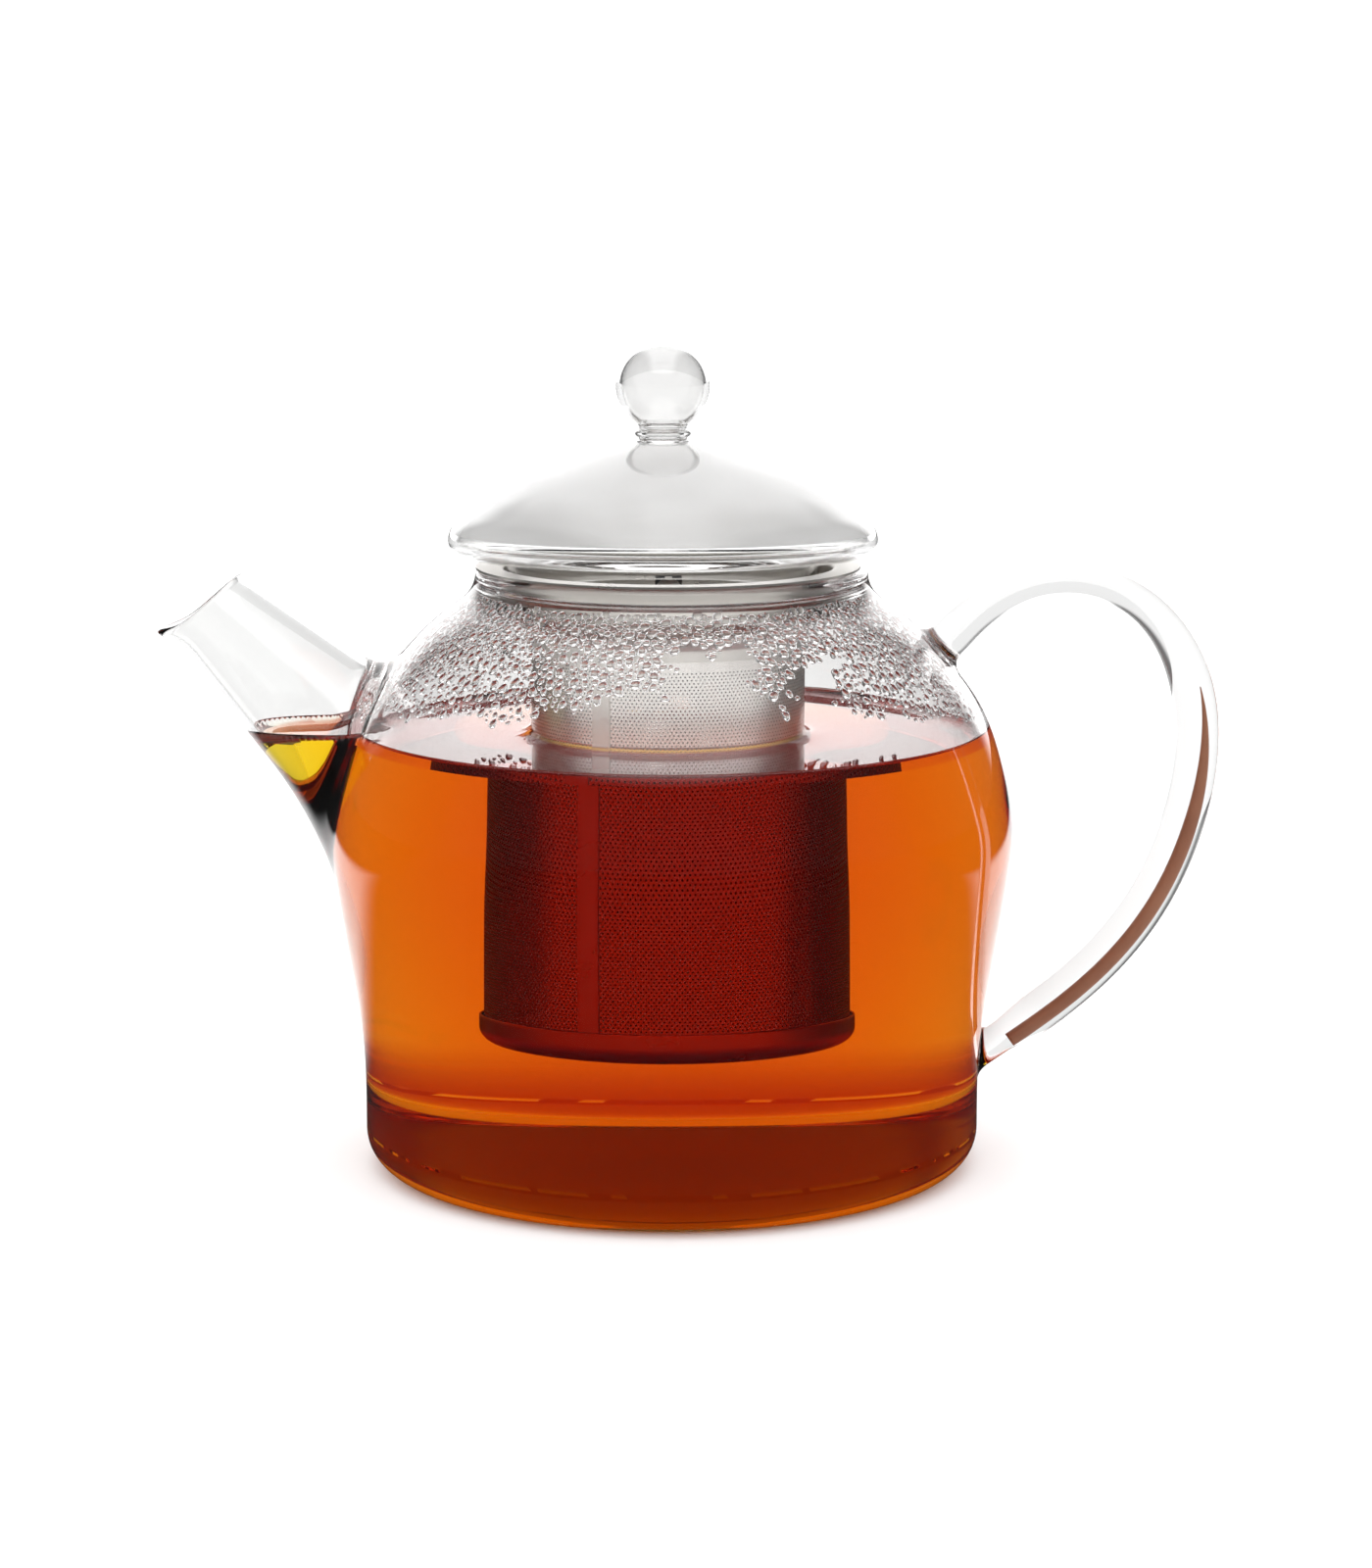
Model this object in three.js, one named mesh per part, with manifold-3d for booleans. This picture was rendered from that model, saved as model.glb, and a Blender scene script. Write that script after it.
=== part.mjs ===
// A glass teapot with a lift-out steel infuser and a loose glass lid.
//
// Millimetres, +Z up. The origin is the centre of the flat base, on the axis of the bowl. The spout
// points to -X, the handle to +X, and the front is -Y.

import * as THREE from 'three';
import { mergeVertices } from 'three/addons/utils/BufferGeometryUtils.js';
import Module from 'manifold-3d';

const wasm = await Module();
wasm.setup();

// ---------------------------------------------------------------- driving dimensions

const gap = 0.3; // clearance between pieces that touch
const roundSegments = 36; // facets around the bowl, the infuser and the lid
const smallSegments = 24; // facets around the spout, the knob and the welds

// Bowl
const glassWall = 2.4;
const baseRadius = 60.4; // flat part of the base
const baseCorner = 8.6; // radius of the corner between base and side
const bowlSide = [
  [69.4, 27.0],
  [72.1, 46.2],
  [75.6, 68.2],
  [76.3, 77.5],
  [74.1, 90.2],
  [69.2, 103.4],
  [60.5, 115.1],
  [50.0, 125.2],
  [44.4, 130.4],
]; // [radius, height] of points on the outside of the bowl, from above the base corner to the neck

// Rim: a thick bead of glass around the opening
const rimTop = 134.4;
const rimOuterRadius = 43.6;
const rimInnerRadius = 38.4;
const rimBottom = 130.7;
const rimRounding = 1.3;

// Spout: a tapered tube whose axis rises from the bowl to the mouth
const spoutMouth = new THREE.Vector3(-103.6, 0, 126.6);
const spoutRise = THREE.MathUtils.degToRad(43.6);
const spoutMouthRadius = 10.5;
const spoutTaper = 0.155; // growth of radius for each millimetre from the mouth towards the bowl
const spoutWall = 1.9;
const spoutFlareStart = 34; // from here to the bowl the spout widens faster
const spoutFlare = 0.006; // growth of radius with the square of the distance past that
const spoutLength = 62; // from the mouth to inside the bowl, before trimming
const spoutBoreStart = 46; // the hollow is straight from here down to the bowl
const spoutBoreEnd = 20; // the bore that opens the bowl ends here, inside the tube
const lipForward = 2.6;
const lipOutward = 1.7;
const lipReach = 6; // how far back from the mouth the lip starts
const lipSpread = THREE.MathUtils.degToRad(38);
const mouthSlant = 0.09; // how much the mouth plane leans forward at its lower side

// Handle: one bent glass rod, [x, z] of points on its centre line, from the upper weld down
const handleLine = [
  [61.9, 119.0],
  [68.2, 125.1],
  [77.0, 129.9],
  [88.1, 131.9],
  [100.5, 128.9],
  [109.6, 121.1],
  [115.8, 107.9],
  [117.2, 95.0],
  [114.3, 76.9],
  [106.5, 59.0],
  [96.0, 45.5],
  [84.0, 35.0],
  [73.4, 27.4],
];
const handleSteps = 44;
const handleSides = 12;
const handleThickness = 9.8; // across the rod, in the plane of its bend
const handleTopThickness = 7.2;
const handleDepth = 1.1; // depth of the oval section as a fraction of its thickness
const handleUpperEnd = 8.9; // thickness of the rod at its upper weld
const handleLowerEnd = 7.2; // and at its lower weld
const weldSpread = 1.9; // how much wider the weld is at the bowl than at the rod
const weldLength = 9; // from the end of the rod to inside the bowl, before trimming

// Infuser
const sheet = 0.5;
const infuserShift = -0.8; // it hangs this far to the spout side in its seat
const basketRadius = 30.4; // outside of the perforated sheet
const basketBottom = 32.8;
const cupHeight = 6.8;
const cupCorner = 4.0;
const flangeRadius = 42.6;
const collarRadius = 36.9;
const collarBottom = 125.2; // where the collar starts to narrow
const funnelBottom = 119.6; // where it meets the basket
const collarOverlap = 2.4; // how far the collar reaches down over the basket
const seamWidth = 4.2;
const seamAngle = THREE.MathUtils.degToRad(-118); // direction of the seam seen from above
const windowCount = 3;
const windowWidth = 6.6;
const windowHeight = 3.9;
const windowBottom = 125.8;
const tongueLean = THREE.MathUtils.degToRad(9);

// Lid
const lidShift = -1.1; // it sits this far to the spout side of the infuser
const lidWall = 2.1;
const lidBottom = 135.7;
const lidOutline = [
  [7.6, 161.9],
  [13.0, 160.4],
  [26.6, 155.8],
  [36.4, 151.0],
  [43.6, 146.2],
  [47.3, 142.0],
  [47.3, 138.6],
  [45.2, 135.7],
]; // [radius, height] of points on the outside of the dome, from the neck to the lower edge
const lidSeatInner = 35.6; // inner edge of the flat underside of the lid
const lidSeatOuter = 43.2; // where the flat inner face above it meets the dome
const skirtRadius = 34.6;
const skirtWall = 1.8;
const skirtBottom = 127.6;
const knobCentre = 174.7;
const knobRadius = 10.4;
const knobWall = 1.3;
const knobNeckRadius = 5.2;
const knobNeckBottom = 162.6;
const beadRadius = 1.0; // radius of the round glass bead around the neck
const beadHeight = 164.3;

// ---------------------------------------------------------------- materials

function glass(colour) {
  return new THREE.MeshStandardMaterial({ color: colour, roughness: 0.04, metalness: 0 });
}

function steel(colour, roughness) {
  return new THREE.MeshStandardMaterial({ color: colour, roughness, metalness: 1 });
}

const clearGlass = glass(0xf2f5f4);
const lidGlass = glass(0xeef0f0);
const satinSteel = steel(0xb9b2a8, 0.32);
const perforatedSteel = steel(0xa79f95, 0.4);

// ---------------------------------------------------------------- building blocks

function toPoints(pairs) {
  return pairs.map(([x, y]) => new THREE.Vector2(x, y));
}

// Moves each point of an outline along its normal; a positive distance moves it away from the axis.
function offsetOutline(points, distance) {
  return points.map((point, i) => {
    const before = points[Math.max(i - 1, 0)];
    const after = points[Math.min(i + 1, points.length - 1)];
    const along = after.clone().sub(before).normalize();
    return new THREE.Vector2(point.x + along.y * distance, point.y - along.x * distance);
  });
}

// Welds shared vertices and drops triangles that have no area, so the surface is one closed mesh.
function closedGeometry(geometry) {
  const bare = new THREE.BufferGeometry();
  bare.setAttribute('position', geometry.getAttribute('position').clone());
  if (geometry.index) bare.setIndex(geometry.index.clone());
  const welded = mergeVertices(bare, 1e-3);
  const corners = welded.index.array;
  const kept = [];
  for (let i = 0; i < corners.length; i += 3) {
    const [a, b, c] = [corners[i], corners[i + 1], corners[i + 2]];
    if (a !== b && b !== c && c !== a) kept.push(a, b, c);
  }
  welded.setIndex(kept);
  return welded;
}

function toSolid(geometry) {
  const closed = closedGeometry(geometry);
  return new wasm.Manifold(new wasm.Mesh({
    numProp: 3,
    vertProperties: Float32Array.from(closed.getAttribute('position').array),
    triVerts: Uint32Array.from(closed.index.array),
  }));
}

function toGeometry(solid) {
  const mesh = solid.getMesh();
  const geometry = new THREE.BufferGeometry();
  geometry.setAttribute('position', new THREE.BufferAttribute(mesh.vertProperties, 3));
  geometry.setIndex(new THREE.BufferAttribute(mesh.triVerts, 1));
  geometry.computeVertexNormals();
  return geometry;
}

// Turns an outline of [radius, height] points around the Z axis.
function turned(points, segments = roundSegments) {
  return closedGeometry(new THREE.LatheGeometry(points, segments).rotateX(Math.PI / 2));
}

// A turned ring or tube: the outline runs up the outside, down the inside and back to its start.
function turnedRing(outside, inside, segments = roundSegments) {
  return turned([...outside, ...inside.slice().reverse(), outside[0].clone()], segments);
}

function named(name, geometry, material) {
  const mesh = new THREE.Mesh(geometry, material);
  mesh.name = name;
  return mesh;
}

// ---------------------------------------------------------------- pot

function bowlOutline(divisions = 2) {
  const path = new THREE.Path();
  path.moveTo(baseRadius, 0);
  path.absarc(baseRadius, baseCorner, baseCorner, -Math.PI / 2, 0, false);
  path.splineThru(toPoints(bowlSide));
  return path.getPoints(divisions);
}

// The whole bowl as if it were solid, grown by the given distance: it trims what is fused to it.
function bowlSolid(growth) {
  const side = offsetOutline(bowlOutline(), growth);
  const top = new THREE.Vector2(0, side[side.length - 1].y);
  return toSolid(turned([new THREE.Vector2(0, -growth), ...side, top]));
}

function bowlGeometry(bore) {
  const outside = bowlOutline();
  const top = outside[outside.length - 1];
  const inside = offsetOutline(outside, -glassWall).filter((point) => point.y < top.y - 1);
  const outline = [
    new THREE.Vector2(0, 0),
    ...outside,
    new THREE.Vector2(top.x - glassWall, top.y),
    ...inside.reverse(),
    new THREE.Vector2(0, glassWall),
  ];
  return toGeometry(toSolid(turned(outline)).subtract(bore));
}

function rimGeometry() {
  const middle = rimTop - rimRounding;
  const path = new THREE.Path();
  path.moveTo(rimOuterRadius + 0.6, rimBottom);
  path.lineTo(rimOuterRadius, middle);
  path.absarc(rimOuterRadius - rimRounding, middle, rimRounding, 0, Math.PI / 2, false);
  path.absarc(rimInnerRadius + rimRounding, middle, rimRounding, Math.PI / 2, Math.PI, false);
  path.lineTo(rimInnerRadius, rimBottom + rimRounding);
  path.lineTo(rimInnerRadius + rimRounding, rimBottom);
  path.lineTo(rimOuterRadius + 0.6, rimBottom);
  return turned(path.getPoints(2));
}

// Turns a shape made around its own Z axis, with the mouth at the origin, into the spout's place.
function placeSpout(geometry) {
  geometry.rotateY(spoutRise - Math.PI / 2);
  geometry.translate(spoutMouth.x, spoutMouth.y, spoutMouth.z);
  return geometry;
}

function spoutRadius(fromMouth) {
  const flared = Math.max(0, fromMouth - spoutFlareStart);
  return spoutMouthRadius + spoutTaper * fromMouth + spoutFlare * flared * flared;
}

// Draws the lower side of the mouth forward and outward into a pouring lip.
function formLip(geometry) {
  const position = geometry.getAttribute('position');
  for (let i = 0; i < position.count; i++) {
    const [x, y, z] = [position.getX(i), position.getY(i), position.getZ(i)];
    const nearMouth = THREE.MathUtils.smoothstep(z, -lipReach, 0);
    const angle = Math.atan2(y, -x);
    const share = nearMouth * Math.exp(-((angle / lipSpread) ** 2));
    position.setX(i, x - lipOutward * share * share);
    position.setZ(i, z + lipForward * share - mouthSlant * x * nearMouth);
  }
  return geometry;
}

function spoutGeometry(bowl) {
  const outside = [];
  const inside = [];
  const rings = [spoutLength, 52, 42, 32, 20, 9, 6, 4, 2, 0.8]; // closer together at the lip
  for (const fromMouth of rings) {
    outside.push(new THREE.Vector2(spoutRadius(fromMouth), -fromMouth));
    inside.push(new THREE.Vector2(spoutRadius(fromMouth) - spoutWall, -fromMouth));
  }
  const middleOfWall = spoutMouthRadius - spoutWall / 2;
  outside.push(new THREE.Vector2(middleOfWall, 0));
  const tube = formLip(turnedRing(outside, inside, smallSegments));
  return toGeometry(toSolid(placeSpout(tube)).subtract(bowl));
}

// The hollow of the spout, which also opens the wall of the bowl.
function spoutBore() {
  const start = new THREE.Vector2(0, -spoutLength);
  const end = new THREE.Vector2(0, -spoutBoreEnd);
  const wide = new THREE.Vector2(spoutRadius(spoutBoreStart) - spoutWall, -spoutLength);
  const narrow = new THREE.Vector2(spoutRadius(spoutBoreEnd) - spoutWall, -spoutBoreEnd);
  return toSolid(placeSpout(turned([start, wide, narrow, end], smallSegments)));
}

const handleCurve = new THREE.CatmullRomCurve3(
  handleLine.map(([x, z]) => new THREE.Vector3(x, 0, z)),
  false,
  'centripetal',
);

// Thickness of the rod at a share of its length: thin over the top arch and at the lower end.
function handleThicknessAt(share) {
  const { lerp, smoothstep } = THREE.MathUtils;
  const upper = lerp(handleUpperEnd, handleTopThickness, smoothstep(share, 0, 0.14));
  const side = lerp(upper, handleThickness, smoothstep(share, 0.24, 0.46));
  return lerp(side, handleLowerEnd, smoothstep(share, 0.93, 1));
}

function handleGeometry() {
  const section = new THREE.Shape();
  section.absellipse(0, 0, 0.5, 0.5, 0, Math.PI * 2);
  const rod = new THREE.ExtrudeGeometry(section, {
    steps: handleSteps,
    curveSegments: handleSides / 2,
    bevelEnabled: false,
    extrudePath: handleCurve,
  });
  const stations = handleCurve.getSpacedPoints(handleSteps);
  const position = rod.getAttribute('position');
  const point = new THREE.Vector3();
  for (let i = 0; i < position.count; i++) {
    point.fromBufferAttribute(position, i);
    const away = stations.map((station) => station.distanceTo(point));
    const nearest = away.indexOf(Math.min(...away));
    const centre = stations[nearest];
    const thickness = handleThicknessAt(nearest / handleSteps);
    point.sub(centre).multiply(new THREE.Vector3(thickness, thickness * handleDepth, thickness));
    point.add(centre);
    position.setXYZ(i, point.x, point.y, point.z);
  }
  return closedGeometry(rod);
}

// A pad of glass that joins one end of the rod to the bowl and widens towards it.
function weldGeometry(share, bowl) {
  const end = handleCurve.getPointAt(share);
  const outward = handleCurve.getTangentAt(share).multiplyScalar(share === 0 ? 1 : -1);
  const radius = handleThicknessAt(share) / 2;
  const outline = toPoints([
    [0, -weldLength],
    [radius + weldSpread, -weldLength],
    [radius + weldSpread, -3.2],
    [radius + 0.9, -1.8],
    [radius + 0.2, -0.9],
    [radius - 0.2, -gap],
    [0, -gap],
  ]);
  const pad = turned(outline, smallSegments);
  const up = new THREE.Vector3(0, 0, 1);
  pad.applyQuaternion(new THREE.Quaternion().setFromUnitVectors(up, outward));
  pad.translate(end.x, end.y, end.z);
  return toGeometry(toSolid(pad).subtract(bowl));
}

// ---------------------------------------------------------------- infuser

function collarGeometry() {
  const top = rimTop + gap + sheet;
  const funnel = new THREE.Path();
  funnel.moveTo(basketRadius + gap + sheet, funnelBottom - collarOverlap);
  funnel.lineTo(basketRadius + gap + sheet, funnelBottom);
  funnel.bezierCurveTo(
    basketRadius + 1.4, funnelBottom + 2.4,
    collarRadius - 0.6, collarBottom - 2.8,
    collarRadius, collarBottom,
  );
  funnel.lineTo(collarRadius, top - sheet - 0.6);
  const wall = funnel.getPoints(5);
  const outside = [
    ...wall,
    new THREE.Vector2(collarRadius + 0.6, top - sheet),
    new THREE.Vector2(flangeRadius, top - sheet),
    new THREE.Vector2(flangeRadius, top),
  ];
  const inside = [
    ...offsetOutline(wall, -sheet),
    new THREE.Vector2(collarRadius + 0.3, top),
  ];
  let collar = toSolid(turnedRing(outside, inside));
  for (let i = 0; i < windowCount; i++) {
    const turn = Math.PI / 2 + (i * 2 * Math.PI) / windowCount;
    collar = collar.subtract(windowCutter(turn)).add(tongue(turn));
  }
  return toGeometry(collar);
}

function windowCutter(turn) {
  const cutter = new THREE.BoxGeometry(6, windowWidth, windowHeight);
  cutter.translate(collarRadius, 0, windowBottom + windowHeight / 2);
  return toSolid(cutter.rotateZ(turn));
}

// The tongue left by the punch: it stays joined at the lower edge of the window and leans inward.
function tongue(turn) {
  const outline = new THREE.Shape(toPoints([
    [-windowWidth * 0.44, -0.9],
    [windowWidth * 0.44, -0.9],
    [windowWidth * 0.18, windowHeight - 0.7],
    [-windowWidth * 0.18, windowHeight - 0.7],
  ]));
  const plate = new THREE.ExtrudeGeometry(outline, { depth: sheet, bevelEnabled: false });
  plate.rotateX(Math.PI / 2).rotateZ(Math.PI / 2);
  plate.rotateY(-tongueLean);
  plate.translate(collarRadius - sheet, 0, windowBottom);
  return toSolid(plate.rotateZ(turn));
}

function basketWallGeometry() {
  const bottom = basketBottom + cupCorner + 0.6;
  const top = funnelBottom;
  const outside = toPoints([[basketRadius, bottom], [basketRadius, top]]);
  const inside = toPoints([[basketRadius - sheet, bottom], [basketRadius - sheet, top]]);
  return turnedRing(outside, inside);
}

// The plain strip where the rolled sheet laps over itself.
function seamGeometry() {
  const inner = basketRadius + gap;
  const outer = inner + gap;
  const half = seamWidth / 2 / outer;
  const bottom = basketBottom + cupHeight + gap;
  const top = funnelBottom - collarOverlap - gap;
  const section = new THREE.Shape();
  section.absarc(0, 0, outer, -half, half, false);
  section.absarc(0, 0, inner, half, -half, true);
  const strip = new THREE.ExtrudeGeometry(section, {
    depth: top - bottom,
    curveSegments: 4,
    bevelEnabled: false,
  });
  strip.translate(0, 0, bottom);
  return closedGeometry(strip.rotateZ(seamAngle));
}

function cupGeometry() {
  const radius = basketRadius + gap + sheet;
  const path = new THREE.Path();
  path.moveTo(radius - cupCorner, basketBottom);
  path.absarc(radius - cupCorner, basketBottom + cupCorner, cupCorner, -Math.PI / 2, 0, false);
  path.lineTo(radius, basketBottom + cupHeight);
  const outside = path.getPoints(2);
  const inside = offsetOutline(outside, -sheet).reverse();
  return turned([
    new THREE.Vector2(0, basketBottom),
    ...outside,
    ...inside,
    new THREE.Vector2(0, basketBottom + sheet),
  ]);
}

// ---------------------------------------------------------------- lid

function domeGeometry() {
  const curve = new THREE.SplineCurve(toPoints(lidOutline));
  const outside = curve.getPoints(11).reverse();
  const inside = offsetOutline(outside, -lidWall).filter((point) => point.y > lidBottom + lidWall + 0.4);
  const boreRadius = knobNeckRadius - knobWall;
  return turned([
    new THREE.Vector2(lidSeatInner, lidBottom + 0.4),
    new THREE.Vector2(lidSeatInner + 0.4, lidBottom),
    ...outside,
    new THREE.Vector2(boreRadius, knobNeckBottom - gap),
    new THREE.Vector2(boreRadius, knobNeckBottom - lidWall - 1.2),
    ...inside.reverse().filter((point) => point.x > boreRadius + 2),
    new THREE.Vector2(lidSeatOuter, lidBottom + lidWall - 0.2),
    new THREE.Vector2(lidSeatInner, lidBottom + lidWall - 0.2),
    new THREE.Vector2(lidSeatInner, lidBottom + 0.4),
  ]);
}

function skirtGeometry() {
  const path = new THREE.Path();
  const middle = skirtRadius - skirtWall / 2;
  const top = lidBottom - gap;
  path.moveTo(skirtRadius - skirtWall, skirtBottom + skirtWall / 2);
  path.absarc(middle, skirtBottom + skirtWall / 2, skirtWall / 2, Math.PI, Math.PI * 2, false);
  path.lineTo(skirtRadius, top);
  path.lineTo(skirtRadius - skirtWall, top);
  path.lineTo(skirtRadius - skirtWall, skirtBottom + skirtWall / 2);
  return turned(path.getPoints(3));
}

function knobGeometry() {
  const neckAngle = Math.asin(knobNeckRadius / knobRadius);
  const boreRadius = knobNeckRadius - knobWall;
  const boreAngle = Math.asin(boreRadius / (knobRadius - knobWall));
  const path = new THREE.Path();
  path.moveTo(boreRadius, knobNeckBottom);
  path.lineTo(knobNeckRadius, knobNeckBottom);
  path.absarc(0, knobCentre, knobRadius, neckAngle - Math.PI / 2, Math.PI / 2, false);
  path.lineTo(0, knobCentre + knobRadius - knobWall);
  path.absarc(0, knobCentre, knobRadius - knobWall, Math.PI / 2, boreAngle - Math.PI / 2, true);
  path.lineTo(boreRadius, knobNeckBottom);
  return turned(path.getPoints(5), smallSegments);
}

function beadGeometry() {
  const path = new THREE.Path();
  path.absarc(knobNeckRadius + gap + beadRadius, beadHeight, beadRadius, -Math.PI, Math.PI, false);
  return turned(path.getPoints(4), smallSegments);
}

// ---------------------------------------------------------------- assembly

const teapot = new THREE.Group();

const pot = new THREE.Group();
const trimmer = bowlSolid(gap);
pot.add(
  named('pot_bowl', bowlGeometry(spoutBore()), clearGlass),
  named('rim_bead', rimGeometry(), clearGlass),
  named('spout', spoutGeometry(trimmer), clearGlass),
  named('handle', handleGeometry(), clearGlass),
  named('handle_upper_weld', weldGeometry(0, trimmer), clearGlass),
  named('handle_lower_weld', weldGeometry(1, trimmer), clearGlass),
);

const infuser = new THREE.Group();
infuser.position.x = infuserShift;
infuser.add(
  named('infuser_collar', collarGeometry(), satinSteel),
  named('infuser_basket_wall', basketWallGeometry(), perforatedSteel),
  named('infuser_seam_strip', seamGeometry(), satinSteel),
  named('infuser_bottom_cup', cupGeometry(), satinSteel),
);

const lid = new THREE.Group();
lid.position.x = infuserShift + lidShift;
lid.add(
  named('lid_dome', domeGeometry(), lidGlass),
  named('lid_skirt', skirtGeometry(), lidGlass),
  named('lid_neck_bead', beadGeometry(), lidGlass),
  named('lid_knob', knobGeometry(), lidGlass),
);

teapot.add(pot, infuser, lid);

export default teapot;
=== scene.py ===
"""The looks of a glass teapot with tea in it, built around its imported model.

Outlines are in millimetres, as [radius, height] around the axis of their own body, and new_piece
turns them into metres. The tea reaches 0.15 mm into the glass, and the drops 0.06 mm, so that light
passes straight from one into the other.
"""

import math

import bmesh
import bpy
import numpy as np
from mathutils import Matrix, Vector


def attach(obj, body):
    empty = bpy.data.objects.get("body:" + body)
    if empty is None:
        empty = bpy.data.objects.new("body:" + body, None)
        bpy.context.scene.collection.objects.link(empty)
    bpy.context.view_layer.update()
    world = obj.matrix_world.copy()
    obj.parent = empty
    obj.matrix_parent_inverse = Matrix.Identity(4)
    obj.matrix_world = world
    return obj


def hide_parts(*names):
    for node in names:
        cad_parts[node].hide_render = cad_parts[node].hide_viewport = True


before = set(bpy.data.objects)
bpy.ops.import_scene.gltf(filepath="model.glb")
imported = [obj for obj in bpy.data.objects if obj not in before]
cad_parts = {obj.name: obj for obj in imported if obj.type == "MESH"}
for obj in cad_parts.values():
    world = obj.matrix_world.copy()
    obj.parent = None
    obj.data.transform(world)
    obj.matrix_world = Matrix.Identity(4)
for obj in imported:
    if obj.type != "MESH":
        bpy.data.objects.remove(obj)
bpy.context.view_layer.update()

# ---------------------------------------------------------------- driving dimensions

POT_SEGMENTS = 256
LID_SEGMENTS = 200

# Bowl
GLASS_WALL = 2.4
BASE_RADIUS = 60.4
BASE_CORNER = 8.6
BASE_SHARES = (0, 0.35, 0.65, 0.86, 0.96, 0.99)  # the rings of the flat base, closer near its corner
BOWL_SIDE = [
    (69.0, 8.6), (69.4, 27.0), (72.1, 46.2), (75.6, 68.2), (76.3, 77.5), (74.1, 90.2),
    (69.2, 103.4), (60.5, 115.1), (50.0, 125.2), (44.4, 130.4), (43.6, 133.1),
]
SIDE_ROWS = 112
RIM_TOP = 134.4
RIM_OUTER = 43.6
RIM_INNER = 38.4
RIM_DEPTH = 4.0
RIM_ROUNDING = 1.3

# Spout
SPOUT_MOUTH = np.array((-103.6, 0.0, 126.6))
SPOUT_RISE = math.radians(43.6)
MOUTH_RADIUS = 10.5
SPOUT_TAPER = 0.155
SPOUT_FLARE_START = 34
SPOUT_FLARE = 0.006
SPOUT_WALL = 1.9
SPOUT_LENGTH = 62
SPOUT_ROOT = 18  # how much further its lower side reaches
LIP_FORWARD = 2.6
LIP_OUTWARD = 1.7
LIP_REACH = 6
LIP_SPREAD = math.radians(38)
MOUTH_SLANT = 0.09

SPOUT_WAY = np.arange(-12, SPOUT_LENGTH - 12, 0.1)  # where along it the bowl's wall is looked for
SPOUT_HOLE = (88.0, 54, 34)  # height of its middle, rows and columns of the bowl's mesh
SPOUT_OUTER = {"spread": 4.5, "reach": 6}  # how far the weld spreads on the bowl and along the tube
SPOUT_INNER = {"spread": 2, "reach": 3}

# Handle: (x, z) of points on the rod's centre line, from the upper weld down
HANDLE_LINE = [
    (61.9, 119.0), (68.2, 125.1), (77.0, 129.9), (88.1, 131.9), (100.5, 128.9), (109.6, 121.1),
    (115.8, 107.9), (117.2, 95.0), (114.3, 76.9), (106.5, 59.0), (96.0, 45.5), (84.0, 35.0),
    (73.4, 27.4),
]
HANDLE_UPPER_END = 8.9
HANDLE_TOP_THICKNESS = 7.2
HANDLE_THICKNESS = 9.8
HANDLE_LOWER_END = 7.2
HANDLE_DEPTH = 1.1
HANDLE_RINGS = 170
HANDLE_WAY = np.arange(-14, 12, 0.05)
UPPER_HOLE = (117.4, 14, 12)
LOWER_HOLE = (24.2, 14, 12)
# A copper-brown stripe inside the handle: painted light, standing in for the tea's orange light carried
# along the glass rod.
LIGHT_STRIPE_START, LIGHT_STRIPE_END = 0.42, 0.985
LIGHT_STRIPE_RADIUS = 1.0
LIGHT_STRIPE_OUTWARD = 1.2

# Infuser
SHEET = 0.5
INFUSER_X = -0.8
BASKET_RADIUS = 30.4
BASKET_BOTTOM = 32.8
CUP_HEIGHT = 6.8
CUP_CORNER = 4.0
FLANGE_RADIUS = 42.6
COLLAR_RADIUS = 36.9
COLLAR_BOTTOM = 125.2
FUNNEL_BOTTOM = 119.6
COLLAR_OVERLAP = 2.4
SEAM_WIDTH = 4.2
SEAM_ANGLE = math.radians(-118)
WINDOW_ANGLES = (90, 210, 330)
WINDOW_WIDTH = 6.6
WINDOW_HEIGHT = 3.9
WINDOW_BOTTOM = 125.8
TONGUE_LEAN = math.radians(9)
GAP = 0.3
HOLE_COLUMNS = 200
HOLE_ROWS = 102
HOLE_RADIUS = 0.22
LAST_HOLE_ROW = 114.6
BASKET_SHEET = 0.4

# Lid
LID_X = -1.9
LID_WALL = 2.1
LID_BOTTOM = 135.7
LID_OUTLINE = [
    (7.6, 161.2), (13.0, 159.9), (26.6, 155.4), (36.4, 150.5), (43.6, 145.3), (47.3, 140.9),
    (47.4, 137.9), (45.2, 135.9),
]
LID_TILT = math.radians(2)  # its back edge rests on the flange and its front edge stands clear
LID_SEAT_INNER = 35.6
SKIRT_RADIUS = 34.6
SKIRT_WALL = 1.8
SKIRT_BOTTOM = 127.6
KNOB_CENTRE = 173.1
KNOB_RADIUS = 10.4
KNOB_WALL = 1.3
NECK_RADIUS = 5.2
BEAD_RADIUS = 1.0
BEAD_HEIGHT = 162.7

# Tea and condensation
TEA_LEVEL = 97.4
MENISCUS = 1.9
MENISCUS_WIDTH = 1.5
STEEL_MENISCUS_WIDTH = 1.1
TEA_RADIUS = 69.2
TEA_TIP = 14.0  # how far behind the mouth the tea in the spout ends, before it is cut level
OVERLAP = 0.15
DROP_SEED = 5
DROP_SIDES = 8
DROP_SUNK = 0.06
DROP_TRIES = 1500
DROP_SIZES = np.repeat((1.15, 0.85, 0.62, 0.46), (2, 4, 9, 12))
DROP_BAND = (99, 128.6)
DROP_BAND_RADIUS = 58.0
LEAF_SEED = 11
LEAF_RADIUS = 29.4
LEAF_TOP = 88.0
LEAF_DEPTH = 1.1

GLASS_IOR = 1.47
WATER_IOR = 1.333
METALLIC = 0.82
# Painted shade: the steel below the tea level is coloured dark red, for the dim red light that reaches
# it through the tea.
PAINTED_TEA_SHADE = (0.3, 0.012, 0.02)  # painted on the steel below the tea level: the tea alone leaves it pale

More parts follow.
